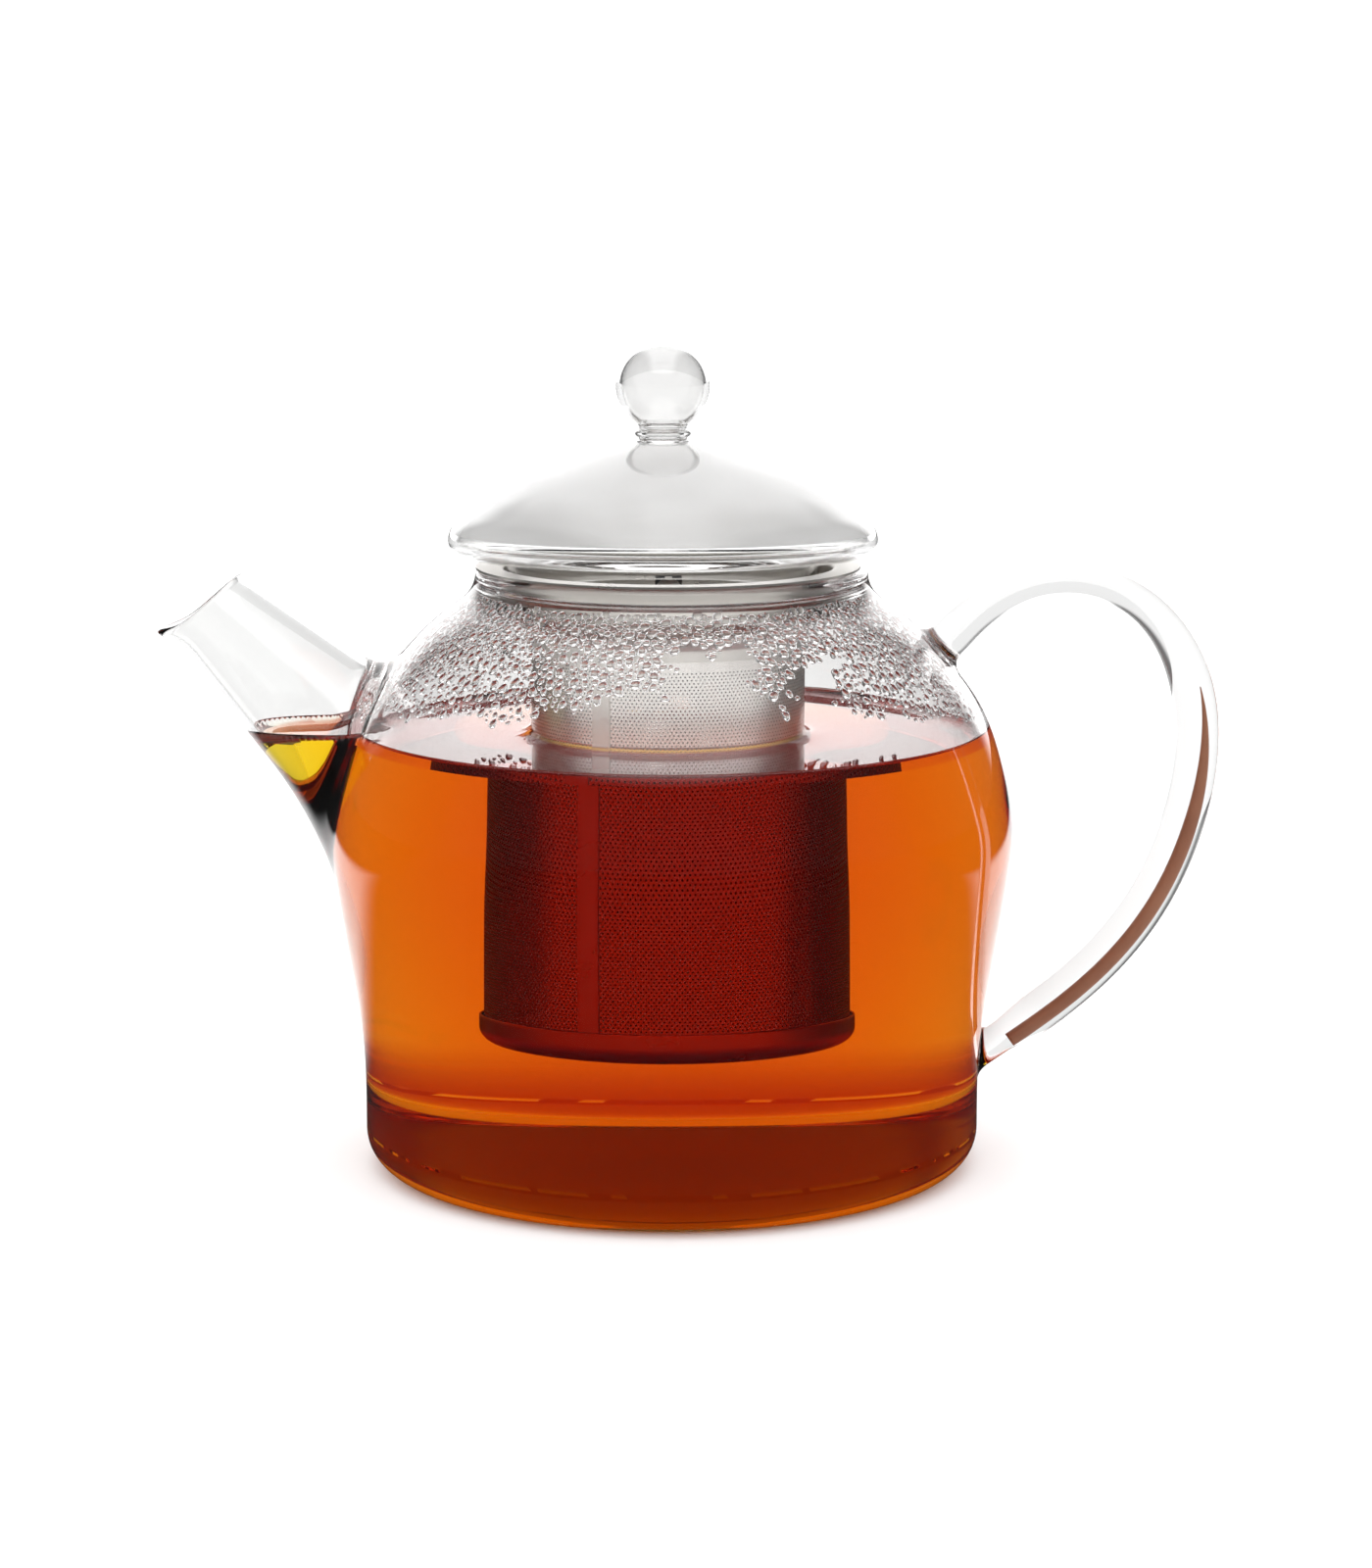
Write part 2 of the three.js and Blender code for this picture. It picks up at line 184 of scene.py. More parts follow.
# Studio: directions are unit vectors, and brightness is 1 where the picture turns white. The view
# and the floor are lit plainly. The rest is what light finds that comes by way of the teapot, and it
# depends on how many surfaces that light has met: mirrored is by the outer glass, within is by the
# steel or a far wall, through is seen straight through dry glass, and submerged or tea is through tea.
FLOOR_HEIGHT = 0.00005
FLOOR_SIZE = 6.0
SHEET_SIDE = (0.26, 0.26 + 0.06)
SHEET_FRONT = (-0.08, -0.16)
SHEET_NEAR = (0.14, 0.06)
PALE = 0.93
TABLE = 0.4
TABLE_MIRRORED = 0.03
TABLE_WITHIN = 0.12
WHITE = 1.6
WHITE_THROUGH = 1.1
PANEL = 0.97
PANEL_MIRRORED = 2.3
PANEL_SUBMERGED = 0.55
PANEL_EDGE = (0.2, 0.5)
SOFTBOX = 2.2
SOFTBOX_EDGE = (0.5, 0.65)
SURROUNDINGS = 0.08
SURROUNDINGS_THROUGH = 0.18
SURROUNDINGS_TEA = 0.9
SIDES_WITHIN = 0.12
FRONT_WITHIN = 1.3
FRONT_EDGE = (0.05, -0.3)
LEFT_EDGE = (-0.5, -0.75)
# Painted shadow: the floor under, behind and close by the pot takes this dark red for light that has
# come through the tea; the next three say where.
UNDER_POT = (0.6, 0.12, 0.04)
CLOSE_BY = (0.17, 0.11)
SHADOW_END = (0.24, 0.06)
SHADOW_SIDE = (0.16, 0.08)
AHEAD = (0.12, -0.12)
CHANNELS = ("Red", "Green", "Blue")
SOFTBOX_WIDTH = (0.6, 0.3)
CAMERA_PLACE = (0.0032, -0.880, 0.2355)
CAMERA_DOWN = 9.65
CAMERA_LENS = 91.6

# ---------------------------------------------------------------- curves


def spline(points, count, start=None, end=None):
    """count even steps along a smooth curve through the points, in the start and end directions."""
    points = np.array(points, float)
    chord = np.linalg.norm(np.diff(points, axis=0), axis=1)
    at = np.r_[0, np.cumsum(chord)]
    n = len(points)
    system = np.zeros((n, n))
    wanted = np.zeros((n, points.shape[1]))
    slope = np.diff(points, axis=0) / chord[:, None]
    for i in range(1, n - 1):
        system[i, i - 1:i + 2] = chord[i - 1], 2 * (chord[i - 1] + chord[i]), chord[i]
        wanted[i] = 6 * (slope[i] - slope[i - 1])
    system[0, 0] = system[-1, -1] = 1
    if start is not None:
        direction = np.array(start, float) / np.linalg.norm(start)
        system[0, :2] = 2 * chord[0], chord[0]
        wanted[0] = 6 * (slope[0] - direction)
    if end is not None:
        direction = np.array(end, float) / np.linalg.norm(end)
        system[-1, -2:] = chord[-1], 2 * chord[-1]
        wanted[-1] = 6 * (direction - slope[-1])
    bend = np.linalg.solve(system, wanted)

    def curve(s):
        i = np.clip(np.searchsorted(at, s) - 1, 0, n - 2)
        h = chord[i][:, None]
        a = (at[i + 1] - s)[:, None] / h
        b = 1 - a
        return (
            a * points[i] + b * points[i + 1]
            + ((a**3 - a) * bend[i] + (b**3 - b) * bend[i + 1]) * h**2 / 6
        )

    fine = np.linspace(0, at[-1], 40 * n)
    fine_points = curve(fine)
    length = np.r_[0, np.cumsum(np.linalg.norm(np.diff(fine_points, axis=0), axis=1))]
    return curve(np.interp(np.linspace(0, length[-1], count + 1), length, fine))


def arc(centre, radius, start, end, steps):
    """Points on an arc, with its angles in degrees."""
    angles = np.radians(np.linspace(start, end, steps + 1))
    return np.c_[centre[0] + radius * np.cos(angles), centre[1] + radius * np.sin(angles)]


def line(start, end, steps):
    """Even points from start to end."""
    return np.linspace(start, end, steps + 1)


def offset(points, distance):
    """Moves each point of an outline along its normal; a positive distance moves it from the axis."""
    along = directions(points)
    return points + distance * np.c_[along[:, 1], -along[:, 0]]


def chain(*stretches):
    """One outline from stretches that meet, without doubled points."""
    points = np.vstack(stretches)
    apart = np.linalg.norm(np.diff(points, axis=0), axis=1) > 1e-3
    return points[np.r_[True, apart]]


def round_axis(radius, angle, height):
    """Points by their radius, their angle around the axis and their height."""
    return np.stack(np.broadcast_arrays(radius * np.cos(angle), radius * np.sin(angle), height), axis=-1)


def full_turn(steps):
    """Even angles all the way around."""
    return np.arange(steps) * 2 * np.pi / steps


def directions(points):
    """The unit direction in which a row of points runs, at each of them."""
    along = np.gradient(points, axis=0)
    return along / np.linalg.norm(along, axis=1)[:, None]


def smoothstep(x, low, high):
    t = np.clip((x - low) / (high - low), 0, 1)
    return t * t * (3 - 2 * t)


# ---------------------------------------------------------------- mesh building


class Surface:
    """Points and faces gathered for one piece, in millimetres."""

    def __init__(self):
        self.points = np.zeros((0, 3))
        self.faces = []
        self.zones = []
        self.zone = 0

    def add(self, points):
        """Adds points and returns their numbers, in the shape of the points."""
        points = np.asarray(points, float)
        first = len(self.points)
        self.points = np.vstack([self.points, points.reshape(-1, 3)])
        return np.arange(first, len(self.points)).reshape(points.shape[:-1])

    def add_faces(self, quads):
        """Adds quads; one with a repeated corner is a triangle."""
        quads = np.asarray(quads).reshape(-1, 4)
        self.faces.append(quads)
        self.zones.append(np.full(len(quads), self.zone))

    def strip(self, lower, upper, keep=None):
        """Quads between two rows with the same number of points."""
        quads = np.stack([lower, np.roll(lower, -1), np.roll(upper, -1), upper], axis=-1)
        if keep is not None:
            quads = quads[keep]
        self.add_faces(quads)

    def rings(self, rows):
        """Adds rings of points joined one after another, and returns their numbers."""
        numbers = self.add(rows)
        for lower, upper in zip(numbers[:-1], numbers[1:]):
            self.strip(lower, upper)
        return numbers

    def fan(self, ring, point):
        """Closes a ring with a point."""
        self.strip(ring, np.repeat(self.add([point]), len(ring)))

    def tube(self, rows, first, last):
        """Rings closed at both ends with a point."""
        rings = self.rings(rows)
        self.fan(rings[0], first)
        self.fan(rings[-1], last)

    def take_in(self, other, points):
        """Adds the faces of another surface, at other points."""
        first = self.add(points)[0]
        for faces in other.faces:
            self.add_faces(faces + first)

    def turned(self, outline, segments, holes=(), closes=False):
        """Turns an outline around the Z axis. holes are ranges of rows and columns left open."""
        angles = full_turn(segments)
        rows = []
        for radius, height in outline:
            if radius < 1e-6:
                rows.append(np.repeat(self.add([(0, 0, height)]), segments))
                continue
            rows.append(self.add(round_axis(radius, angles, height)))
        if closes:
            rows.append(rows[0])
        for i, (lower, upper) in enumerate(zip(rows[:-1], rows[1:])):
            keep = np.ones(segments, bool)
            for hole in holes:
                if hole.rows[0] <= i < hole.rows[1]:
                    keep[np.arange(*hole.columns) % segments] = False
            self.strip(lower, upper, keep=keep)
        return np.array(rows)


class Hole:
    """A rectangle of rows and columns left open in a turned wall, around a direction from the axis."""

    def __init__(self, first_row, row_count, direction, column_count, segments):
        middle = round(direction / 360 * segments)
        self.rows = (first_row, first_row + row_count)
        self.columns = (middle - column_count // 2, middle + column_count // 2)
        self.direction = math.radians(direction)

    def edge(self, numbers):
        """The numbers of the points around the hole, in order."""
        (bottom, top), (left, right) = self.rows, self.columns
        path = [(bottom, c) for c in range(left, right)]
        path += [(r, right) for r in range(bottom, top)]
        path += [(top, c) for c in range(right, left, -1)]
        path += [(r, left) for r in range(top, bottom, -1)]
        return np.array([numbers[r, c % numbers.shape[1]] for r, c in path])


def spread_out(points, direction, radius):
    """Unrolls points around the axis into (distance around from the direction, height)."""
    x, y, z = points[..., 0], points[..., 1], points[..., 2]
    across = y * math.cos(direction) - x * math.sin(direction)
    towards = x * math.cos(direction) + y * math.sin(direction)
    return np.stack([radius * np.arctan2(across, towards), z], axis=-1)


def on_wall(flat, direction, radius, radius_at):
    """The points of a turned wall at unrolled places."""
    return round_axis(radius_at(flat[..., 1]), direction + flat[..., 0] / radius, flat[..., 1])


def crossing(tube, turns, distances, radius_at):
    """How far along a tube it comes out of a turned wall, for each turn around the tube."""
    points = tube(distances[:, None], turns[None, :])
    outside = np.hypot(points[..., 0], points[..., 1]) - radius_at(points[..., 2])
    last_in = len(distances) - 1 - np.argmax((outside < 0)[::-1], axis=0)
    k = np.arange(len(turns))
    inner, outer = outside[last_in, k], outside[last_in + 1, k]
    step = distances[1] - distances[0]
    return distances[last_in] + step * inner / (inner - outer)


def join_tube(surface, edge, hole, tube, distances, radius_at, spread, reach):
    """Closes the wall from a hole's edge to a tube with a rounded corner.

    Returns the last ring, and for each of its points how far along the tube and around it that is.
    """
    around = np.linspace(0, 2 * np.pi, 721)[:-1]
    out = crossing(tube, around, distances, radius_at)
    ring = tube(out, around)
    radius = np.hypot(ring[:, 0], ring[:, 1]).mean()
    flat = spread_out(ring, hole.direction, radius)
    centre = (flat.max(axis=0) + flat.min(axis=0)) / 2
    bearing = np.unwrap(np.arctan2(flat[:, 1] - centre[1], flat[:, 0] - centre[0]))
    sense = np.sign(bearing[-1] - bearing[0])
    known = np.concatenate([bearing + sense * turn * 2 * np.pi for turn in (-2, -1, 0, 1, 2)])
    turns = np.concatenate([around + turn * 2 * np.pi for turn in (-2, -1, 0, 1, 2)])
    edge_flat = spread_out(surface.points[edge], hole.direction, radius)
    wanted = np.arctan2(edge_flat[:, 1] - centre[1], edge_flat[:, 0] - centre[0])
    order = np.argsort(known)
    turns = np.unwrap(np.interp(wanted, known[order], turns[order]), period=2 * np.pi)
    out = crossing(tube, turns, distances, radius_at)
    corner = tube(out, turns)
    corner_flat = spread_out(corner, hole.direction, radius)
    away = corner_flat - centre
    wide_flat = corner_flat + spread * away / np.linalg.norm(away, axis=1)[:, None]
    rows = []
    for share in np.linspace(0, 1, 8)[1:]:
        flat = edge_flat + (wide_flat - edge_flat) * share
        rows.append(on_wall(flat, hole.direction, radius, radius_at))
    wall_point = rows[-1]
    tube_point = tube(out + reach, turns)
    for share in np.linspace(0, 1, 10)[1:]:
        near, middle, far = (1 - share) ** 2, 2 * share * (1 - share), share**2
        rows.append(near * wall_point + middle * corner + far * tube_point)
    numbers = surface.rings(rows)
    surface.strip(edge, numbers[0])
    return numbers[-1], out + reach, turns


def matched(turns, wanted):
    """The order in which the points of one ring face those of another, and their turns in that order."""
    count = len(turns)
    best = None
    for sense in (1, -1):
        for shift in range(count):
            order = (shift + sense * np.arange(count)) % count
            found = np.unwrap(turns[order])
            found += 2 * np.pi * np.round((wanted - found).mean() / (2 * np.pi))
            error = np.abs(found - wanted).max()
            if best is None or error < best[0]:
                best = (error, order, found)
    return best[1:]


def grid(rows, columns):
    """The quads of a sheet whose points are numbered row by row."""
    number = np.arange(rows * columns).reshape(rows, columns)
    corners = [number[:-1, :-1], number[:-1, 1:], number[1:, 1:], number[1:, :-1]]
    return np.stack(corners, axis=-1).reshape(-1, 4)


def thickened(outer, inner, quads, inner_zone=0):
    """A sheet as a closed surface: both skins of the same faces, and walls along every open edge."""
    surface = Surface()
    surface.add(outer)
    surface.add(inner)
    count = len(outer)
    quads = np.asarray(quads)
    surface.add_faces(quads)
    surface.zone = inner_zone
    surface.add_faces(quads[:, ::-1] + count)
    sides = np.concatenate([quads[:, (i, (i + 1) % 4)] for i in range(4)])
    sides = sides[sides[:, 0] != sides[:, 1]]
    keys = sides[:, 0].astype(np.int64) * count + sides[:, 1]
    opposite = sides[:, 1].astype(np.int64) * count + sides[:, 0]
    free = sides[~np.isin(keys, opposite)]
    surface.add_faces(np.c_[free[:, ::-1], free + count])
    return surface


def tidied(quads, zones):
    """Faces as lists without repeated corners, and their zones, without faces that have no area."""
    same = quads == np.roll(quads, -1, axis=1)
    repeats = same.sum(axis=1)
    whole = quads[repeats == 0]
    thin = quads[repeats == 1]
    drop = same[repeats == 1].argmax(axis=1)
    keep = np.ones((len(thin), 4), bool)
    keep[np.arange(len(thin)), drop] = False
    triangles = thin[keep].reshape(-1, 3)
    return whole, triangles, np.r_[zones[repeats == 0], zones[repeats == 1]]


def new_piece(name, surface, materials, body, replaced=(), shift=0.0, sharp=0):
    """Makes a mesh of a surface, moved along X by shift, and hangs it on its body."""
    used_quads, triangles, zones = tidied(np.vstack(surface.faces), np.concatenate(surface.zones))
    used = np.unique(np.r_[used_quads.ravel(), triangles.ravel()])
    number = np.full(len(surface.points), -1)
    number[used] = np.arange(len(used))
    points = (surface.points[used] + (shift, 0, 0)) / 1000
    corners = np.r_[number[used_quads].ravel(), number[triangles].ravel()]
    sizes = np.r_[np.full(len(used_quads), 4), np.full(len(triangles), 3)]
    mesh = bpy.data.meshes.new(name)
    mesh.vertices.add(len(points))
    mesh.vertices.foreach_set("co", points.astype(np.float32).ravel())
    mesh.loops.add(len(corners))
    mesh.loops.foreach_set("vertex_index", corners.astype(np.int32))
    mesh.polygons.add(len(sizes))
    mesh.polygons.foreach_set("loop_start", np.r_[0, np.cumsum(sizes)[:-1]].astype(np.int32))
    mesh.polygons.foreach_set("material_index", zones.astype(np.int32))
    mesh.polygons.foreach_set("use_smooth", np.full(len(sizes), True))
    mesh.update(calc_edges=True)
    mesh.validate()
    face_outward(mesh)
    if sharp:
        mesh.set_sharp_from_angle(angle=math.radians(sharp))
    for material in materials:
        mesh.materials.append(material)
    piece = bpy.data.objects.new(name, mesh)
    bpy.context.scene.collection.objects.link(piece)
    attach(piece, body)
    if replaced:
        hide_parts(*replaced)
    return piece


def face_outward(mesh):
    """Turns the faces of a closed mesh to point outward."""
    shape = bmesh.new()
    shape.from_mesh(mesh)
    bmesh.ops.recalc_face_normals(shape, faces=shape.faces[:])
    if shape.calc_volume(signed=True) < 0:
        bmesh.ops.reverse_faces(shape, faces=shape.faces[:])
    shape.to_mesh(mesh)
    shape.free()


# ---------------------------------------------------------------- materials


def new_material(name, **values):
    """A material, its node tree and its Principled shader, with values for the shader's inputs."""
    material = bpy.data.materials.new(name)
    material.use_nodes = True
    shader = material.node_tree.nodes["Principled BSDF"]
    for socket, value in values.items():
        shader.inputs[socket.replace("_", " ")].default_value = value
    return material, material.node_tree, shader


def give(tree, socket, value):
    """Links a socket to another one, or sets it to a number."""
    if isinstance(value, (int, float)):
        socket.default_value = value
    else:
        tree.links.new(value, socket)


def math_node(tree, operation, first, second=0):
    """A Math node on two values, which may be sockets or numbers."""
    node = tree.nodes.new("ShaderNodeMath")
    node.operation = operation
    give(tree, node.inputs[0], first)
    give(tree, node.inputs[1], second)
    return node.outputs["Value"]


def times(tree, first, second):
    return math_node(tree, "MULTIPLY", first, second)


def larger(tree, first, second):
    return math_node(tree, "MAXIMUM", first, second)


def above(tree, value, limit):
    """1 where a value is above a limit, else 0."""
    return math_node(tree, "GREATER_THAN", value, limit)


def size_of(tree, value):
    return math_node(tree, "ABSOLUTE", value)


def coordinates(tree, vector):
    """The X, Y and Z of a vector."""
    split = tree.nodes.new("ShaderNodeSeparateXYZ")
    tree.links.new(vector, split.inputs["Vector"])
    return split.outputs


def ramp(tree, source, low, high):
    """Rises smoothly from 0 where the source is low to 1 where it is high."""
    node = tree.nodes.new("ShaderNodeMapRange")
    node.interpolation_type = "SMOOTHSTEP"
    node.inputs["From Min"].default_value = low
    node.inputs["From Max"].default_value = high
    tree.links.new(source, node.inputs["Value"])
    return node.outputs["Result"]


def mixed(tree, factor, first, second):
    """One number or the other, by a factor from 0 to 1."""
    node = tree.nodes.new("ShaderNodeMix")
    tree.links.new(factor, node.inputs["Factor"])
    give(tree, node.inputs["A"], first)
    give(tree, node.inputs["B"], second)
    return node.outputs["Result"]


def noise_of_place(tree, scale, detail, squeeze=(1, 1, 1)):
    """Noise in the space of the object; scale is in waves for each metre."""
    place = tree.nodes.new("ShaderNodeTexCoord")
    stretch = tree.nodes.new("ShaderNodeMapping")
    stretch.inputs["Scale"].default_value = squeeze
    noise = tree.nodes.new("ShaderNodeTexNoise")
    noise.inputs["Scale"].default_value = scale
    noise.inputs["Detail"].default_value = detail
    tree.links.new(place.outputs["Object"], stretch.inputs["Vector"])
    tree.links.new(stretch.outputs["Vector"], noise.inputs["Vector"])
    return noise.outputs["Fac"]


def between(tree, value, low, high):
    """The value, from 0 to 1, as a number from low to high."""
    node = tree.nodes.new("ShaderNodeMapRange")
    node.inputs["To Min"].default_value = low
    node.inputs["To Max"].default_value = high
    tree.links.new(value, node.inputs["Value"])
    return node.outputs["Result"]


def add_bump(tree, shader, height, distance):
    """Bump on a shader; distance is its height in metres."""
    bump = tree.nodes.new("ShaderNodeBump")
    bump.inputs["Distance"].default_value = distance
    bump.inputs["Strength"].default_value = 1
    tree.links.new(height, bump.inputs["Height"])
    tree.links.new(bump.outputs["Normal"], shader.inputs["Normal"])


def add_mottling(tree, shader, noise, dark, light):
    """Colours a shader from dark to light with a noise."""
    shade = tree.nodes.new("ShaderNodeCombineColor")
    for channel, low, high in zip(CHANNELS, dark, light):
        tree.links.new(between(tree, noise, low, high), shade.inputs[channel])
    tree.links.new(shade.outputs["Color"], shader.inputs["Base Color"])


def mixed_colour(tree, factor, first, second):
    """One colour or the other, by a factor from 0 to 1; the first may be a socket."""
    node = tree.nodes.new("ShaderNodeMix")
    node.data_type = "RGBA"
    tree.links.new(factor, node.inputs["Factor"])
    if isinstance(first, tuple):
        node.inputs["A"].default_value = (*first, 1)
    else:
        tree.links.new(first, node.inputs["A"])
    node.inputs["B"].default_value = (*second, 1)
    return node.outputs["Result"]


def glass_material(name, colour, waves, depth, ior=GLASS_IOR):
    """Clear glass or water with a faintly uneven surface, like that of glass formed in a flame."""
    material, tree, shader = new_material(
        name, Base_Color=(*colour, 1), Transmission_Weight=1, IOR=ior, Roughness=0
    )
    add_bump(tree, shader, noise_of_place(tree, waves, 1), depth)
    return material


def misted_glass_material():
    """The inside of the lid, dulled by fine steam."""
    material, tree, shader = new_material(
        "misted_glass", Base_Color=(0.97, 0.97, 0.97, 1), Transmission_Weight=1, IOR=GLASS_IOR
    )
    streaks = noise_of_place(tree, 90, 4, (1, 1, 2.5))
    tree.links.new(between(tree, streaks, 0.38, 0.62), shader.inputs["Roughness"])
    return material


def steel_material(name, colour, dull, bright, squeeze, depth):
    """Satin stainless steel with fine drawn lines. Below the tea level it is painted dark red: painted
    shade, for the dim red light that reaches it through the tea.

    dull and bright are its roughest and smoothest.
    """
    material, tree, shader = new_material(name, Metallic=METALLIC)
    lines = noise_of_place(tree, 900, 3, squeeze)
    clouds = noise_of_place(tree, 60, 3)
    tree.links.new(between(tree, clouds, bright, dull), shader.inputs["Roughness"])
    add_bump(tree, shader, lines, depth)
    own_colour = mixed_colour(tree, clouds, tuple(c * 0.86 for c in colour), colour)
    place = tree.nodes.new("ShaderNodeNewGeometry")
    height = coordinates(tree, place.outputs["Position"])["Z"]
    # Painted shade: below the tea level the steel is coloured dark red, for the dim red light that
    # reaches it through the tea.
    painted_shade_below_tea = ramp(tree, height, TEA_LEVEL / 1000 + 0.0005, TEA_LEVEL / 1000 - 0.0005)
    tree.links.new(mixed_colour(tree, painted_shade_below_tea, own_colour, PAINTED_TEA_SHADE), shader.inputs["Base Color"])
    return material


def shaded_material():
    """The dark space behind the windows of the collar."""
    return new_material("window_shade", Base_Color=(0.012, 0.01, 0.008, 1), Roughness=0.7)[0]


def light_stripe_material():
    """Copper-brown colour for the stripe in the handle: painted light, standing in for the tea's orange
    light carried along the glass rod.
    """
    material, tree, shader = new_material("painted_light_stripe", Roughness=0.5)
    add_mottling(tree, shader, noise_of_place(tree, 60, 2), (0.3, 0.1, 0.05), (0.55, 0.24, 0.13))
    return material


def leaf_material():
    """Wet tea leaves, nearly black, with brown stalks among them."""
    material, tree, shader = new_material("tea_leaves", Roughness=0.7)
    stalks = noise_of_place(tree, 900, 3, (1, 1, 0.5))
    add_mottling(tree, shader, stalks, (0.015, 0.008, 0.005), (0.07, 0.03, 0.012))
    return material


def tea_material():
    """Black tea: clear, and darker and redder the further light goes through it.

    Only its open surface bends light: where it touches the glass, the wet glass does that.
    """
    material, tree, shader = new_material(
        "tea", Base_Color=(1, 1, 1, 1), Transmission_Weight=1, Roughness=0
    )
    place = tree.nodes.new("ShaderNodeNewGeometry")
    height = coordinates(tree, place.outputs["Position"])["Z"]
    facing = coordinates(tree, place.outputs["Normal"])["Z"]
    at_level = above(tree, height, (TEA_LEVEL - 0.5) / 1000)
    open_surface = times(tree, at_level, above(tree, size_of(tree, facing), 0.15))
    tree.links.new(mixed(tree, open_surface, 1.0, WATER_IOR), shader.inputs["IOR"])
    absorption = tree.nodes.new("ShaderNodeVolumeAbsorption")
    absorption.inputs["Color"].default_value = (0.980, 0.880, 0.0, 1)
    absorption.inputs["Density"].default_value = 150
    tree.links.new(absorption.outputs["Volume"], tree.nodes["Material Output"].inputs["Volume"])
    return material


# ---------------------------------------------------------------- pot


def bowl_side(count):
    """The outside of the bowl from the base corner to the rim."""
    return spline(BOWL_SIDE, count, start=(0, 1), end=(-0.15, 1))


FINE_SIDE = chain(arc((BASE_RADIUS, BASE_CORNER), BASE_CORNER, -88, 0, 80), bowl_side(1500))
FINE_INSIDE = offset(FINE_SIDE, -GLASS_WALL)
FINE_TEA_SIDE = offset(FINE_SIDE, OVERLAP - GLASS_WALL)


def radius_on(outline):
    """A function that gives the radius of an outline at any height."""
    return lambda height: np.interp(height, outline[:, 1], outline[:, 0])


def base_outline(inset, steps=12):
    """The base of the bowl from its axis to the side, moved inwards by inset."""
    centre = (BASE_RADIUS, BASE_CORNER)
    corner = arc(centre, BASE_CORNER - inset, -90, 0, steps)
    flat = [(BASE_RADIUS * share, inset) for share in BASE_SHARES]
    return chain(np.array(flat), corner)


def spout_point(from_mouth, radius, turn):
    """A point of the spout by its distance behind the mouth, its radius and its turn from the top."""
    x = radius * np.cos(turn)
    y = radius * np.sin(turn)
    near_mouth = smoothstep(-from_mouth, -LIP_REACH, 0)
    angle = np.arctan2(y, -x)
    share = near_mouth * np.exp(-((angle / LIP_SPREAD) ** 2))
    along = -from_mouth + LIP_FORWARD * share - MOUTH_SLANT * x * near_mouth
    x = x - LIP_OUTWARD * share**2
    sine, cosine = math.sin(SPOUT_RISE), math.cos(SPOUT_RISE)
    point = np.stack([sine * x - cosine * along, y, cosine * x + sine * along], axis=-1)
    return SPOUT_MOUTH + point


def spout_radius(from_mouth):
    flared = np.maximum(0, from_mouth - SPOUT_FLARE_START)
    return MOUTH_RADIUS + SPOUT_TAPER * from_mouth + SPOUT_FLARE * flared**2


def spout_tube(inset):
    """The spout's wall, moved inwards by inset, by the distance from deep in the bowl outwards."""

    def tube(distance, turn):
        from_mouth = SPOUT_LENGTH - distance
        return spout_point(from_mouth, spout_radius(from_mouth) - inset + 0 * turn, turn)

    return tube


HANDLE_CENTRES = spline([(x, 0, z) for x, z in HANDLE_LINE], 1200)
HANDLE_LENGTH = float(np.linalg.norm(np.diff(HANDLE_CENTRES, axis=0), axis=1).sum())


def handle_thickness(share):
    upper = HANDLE_UPPER_END + (HANDLE_TOP_THICKNESS - HANDLE_UPPER_END) * smoothstep(share, 0, 0.14)
    side = upper + (HANDLE_THICKNESS - upper) * smoothstep(share, 0.24, 0.46)
    return side + (HANDLE_LOWER_END - side) * smoothstep(share, 0.93, 1)


def handle_point(distance, turn):
    """A point of the rod by its distance from the upper end, which may be past either end."""
    distance, turn = np.broadcast_arrays(distance, turn)
    inside = np.clip(distance, 0, HANDLE_LENGTH)
    steps = np.linspace(0, HANDLE_LENGTH, len(HANDLE_CENTRES))
    along = directions(HANDLE_CENTRES)
    centre = np.stack([np.interp(inside, steps, HANDLE_CENTRES[:, i]) for i in range(3)], axis=-1)
    tangent = np.stack([np.interp(inside, steps, along[:, i]) for i in range(3)], axis=-1)
    centre = centre + tangent * (distance - inside)[..., None]
    outward = np.stack([-tangent[..., 2], 0 * inside, tangent[..., 0]], axis=-1)
    half = handle_thickness(inside / HANDLE_LENGTH) / 2
    across = (half * np.cos(turn))[..., None] * outward
    sideways = (half * HANDLE_DEPTH * np.sin(turn))[..., None] * np.array((0.0, 1.0, 0.0))
    return centre + across + sideways


def make_painted_light_stripe(material):
    """A copper-brown stripe inside the handle, fading towards its top: painted light, standing in for
    the tea's orange light carried along the glass rod.
    """
    turns = full_turn(16)
    rows = []
    for share in np.linspace(LIGHT_STRIPE_START, LIGHT_STRIPE_END, 120):
        distance = share * HANDLE_LENGTH
        middle = (handle_point(distance, 0.0) + handle_point(distance, np.pi)) / 2
        outward = handle_point(distance, 0.0) - middle
        outward = outward / np.linalg.norm(outward)
        size = LIGHT_STRIPE_RADIUS * math.sqrt(smoothstep(share, LIGHT_STRIPE_START - 0.01, LIGHT_STRIPE_START + 0.22))
        ring = np.cos(turns)[:, None] * outward + np.sin(turns)[:, None] * np.array((0.0, 1.0, 0.0))
        rows.append(middle + outward * LIGHT_STRIPE_OUTWARD + ring * size)
    surface = Surface()
    surface.tube(rows, rows[0].mean(axis=0), rows[-1].mean(axis=0))
    new_piece("handle_painted_light_stripe", surface, (material,), "pot")


def hole_in(outline, first, last, shape, direction):
    """A hole in a turned outline, between two of its rows, with its middle nearest to a height."""
    height, rows, columns = shape
    middle = first + int(np.argmin(np.abs(outline[first:last, 1] - height)))
    return Hole(middle - rows // 2, rows, direction, columns, POT_SEGMENTS)


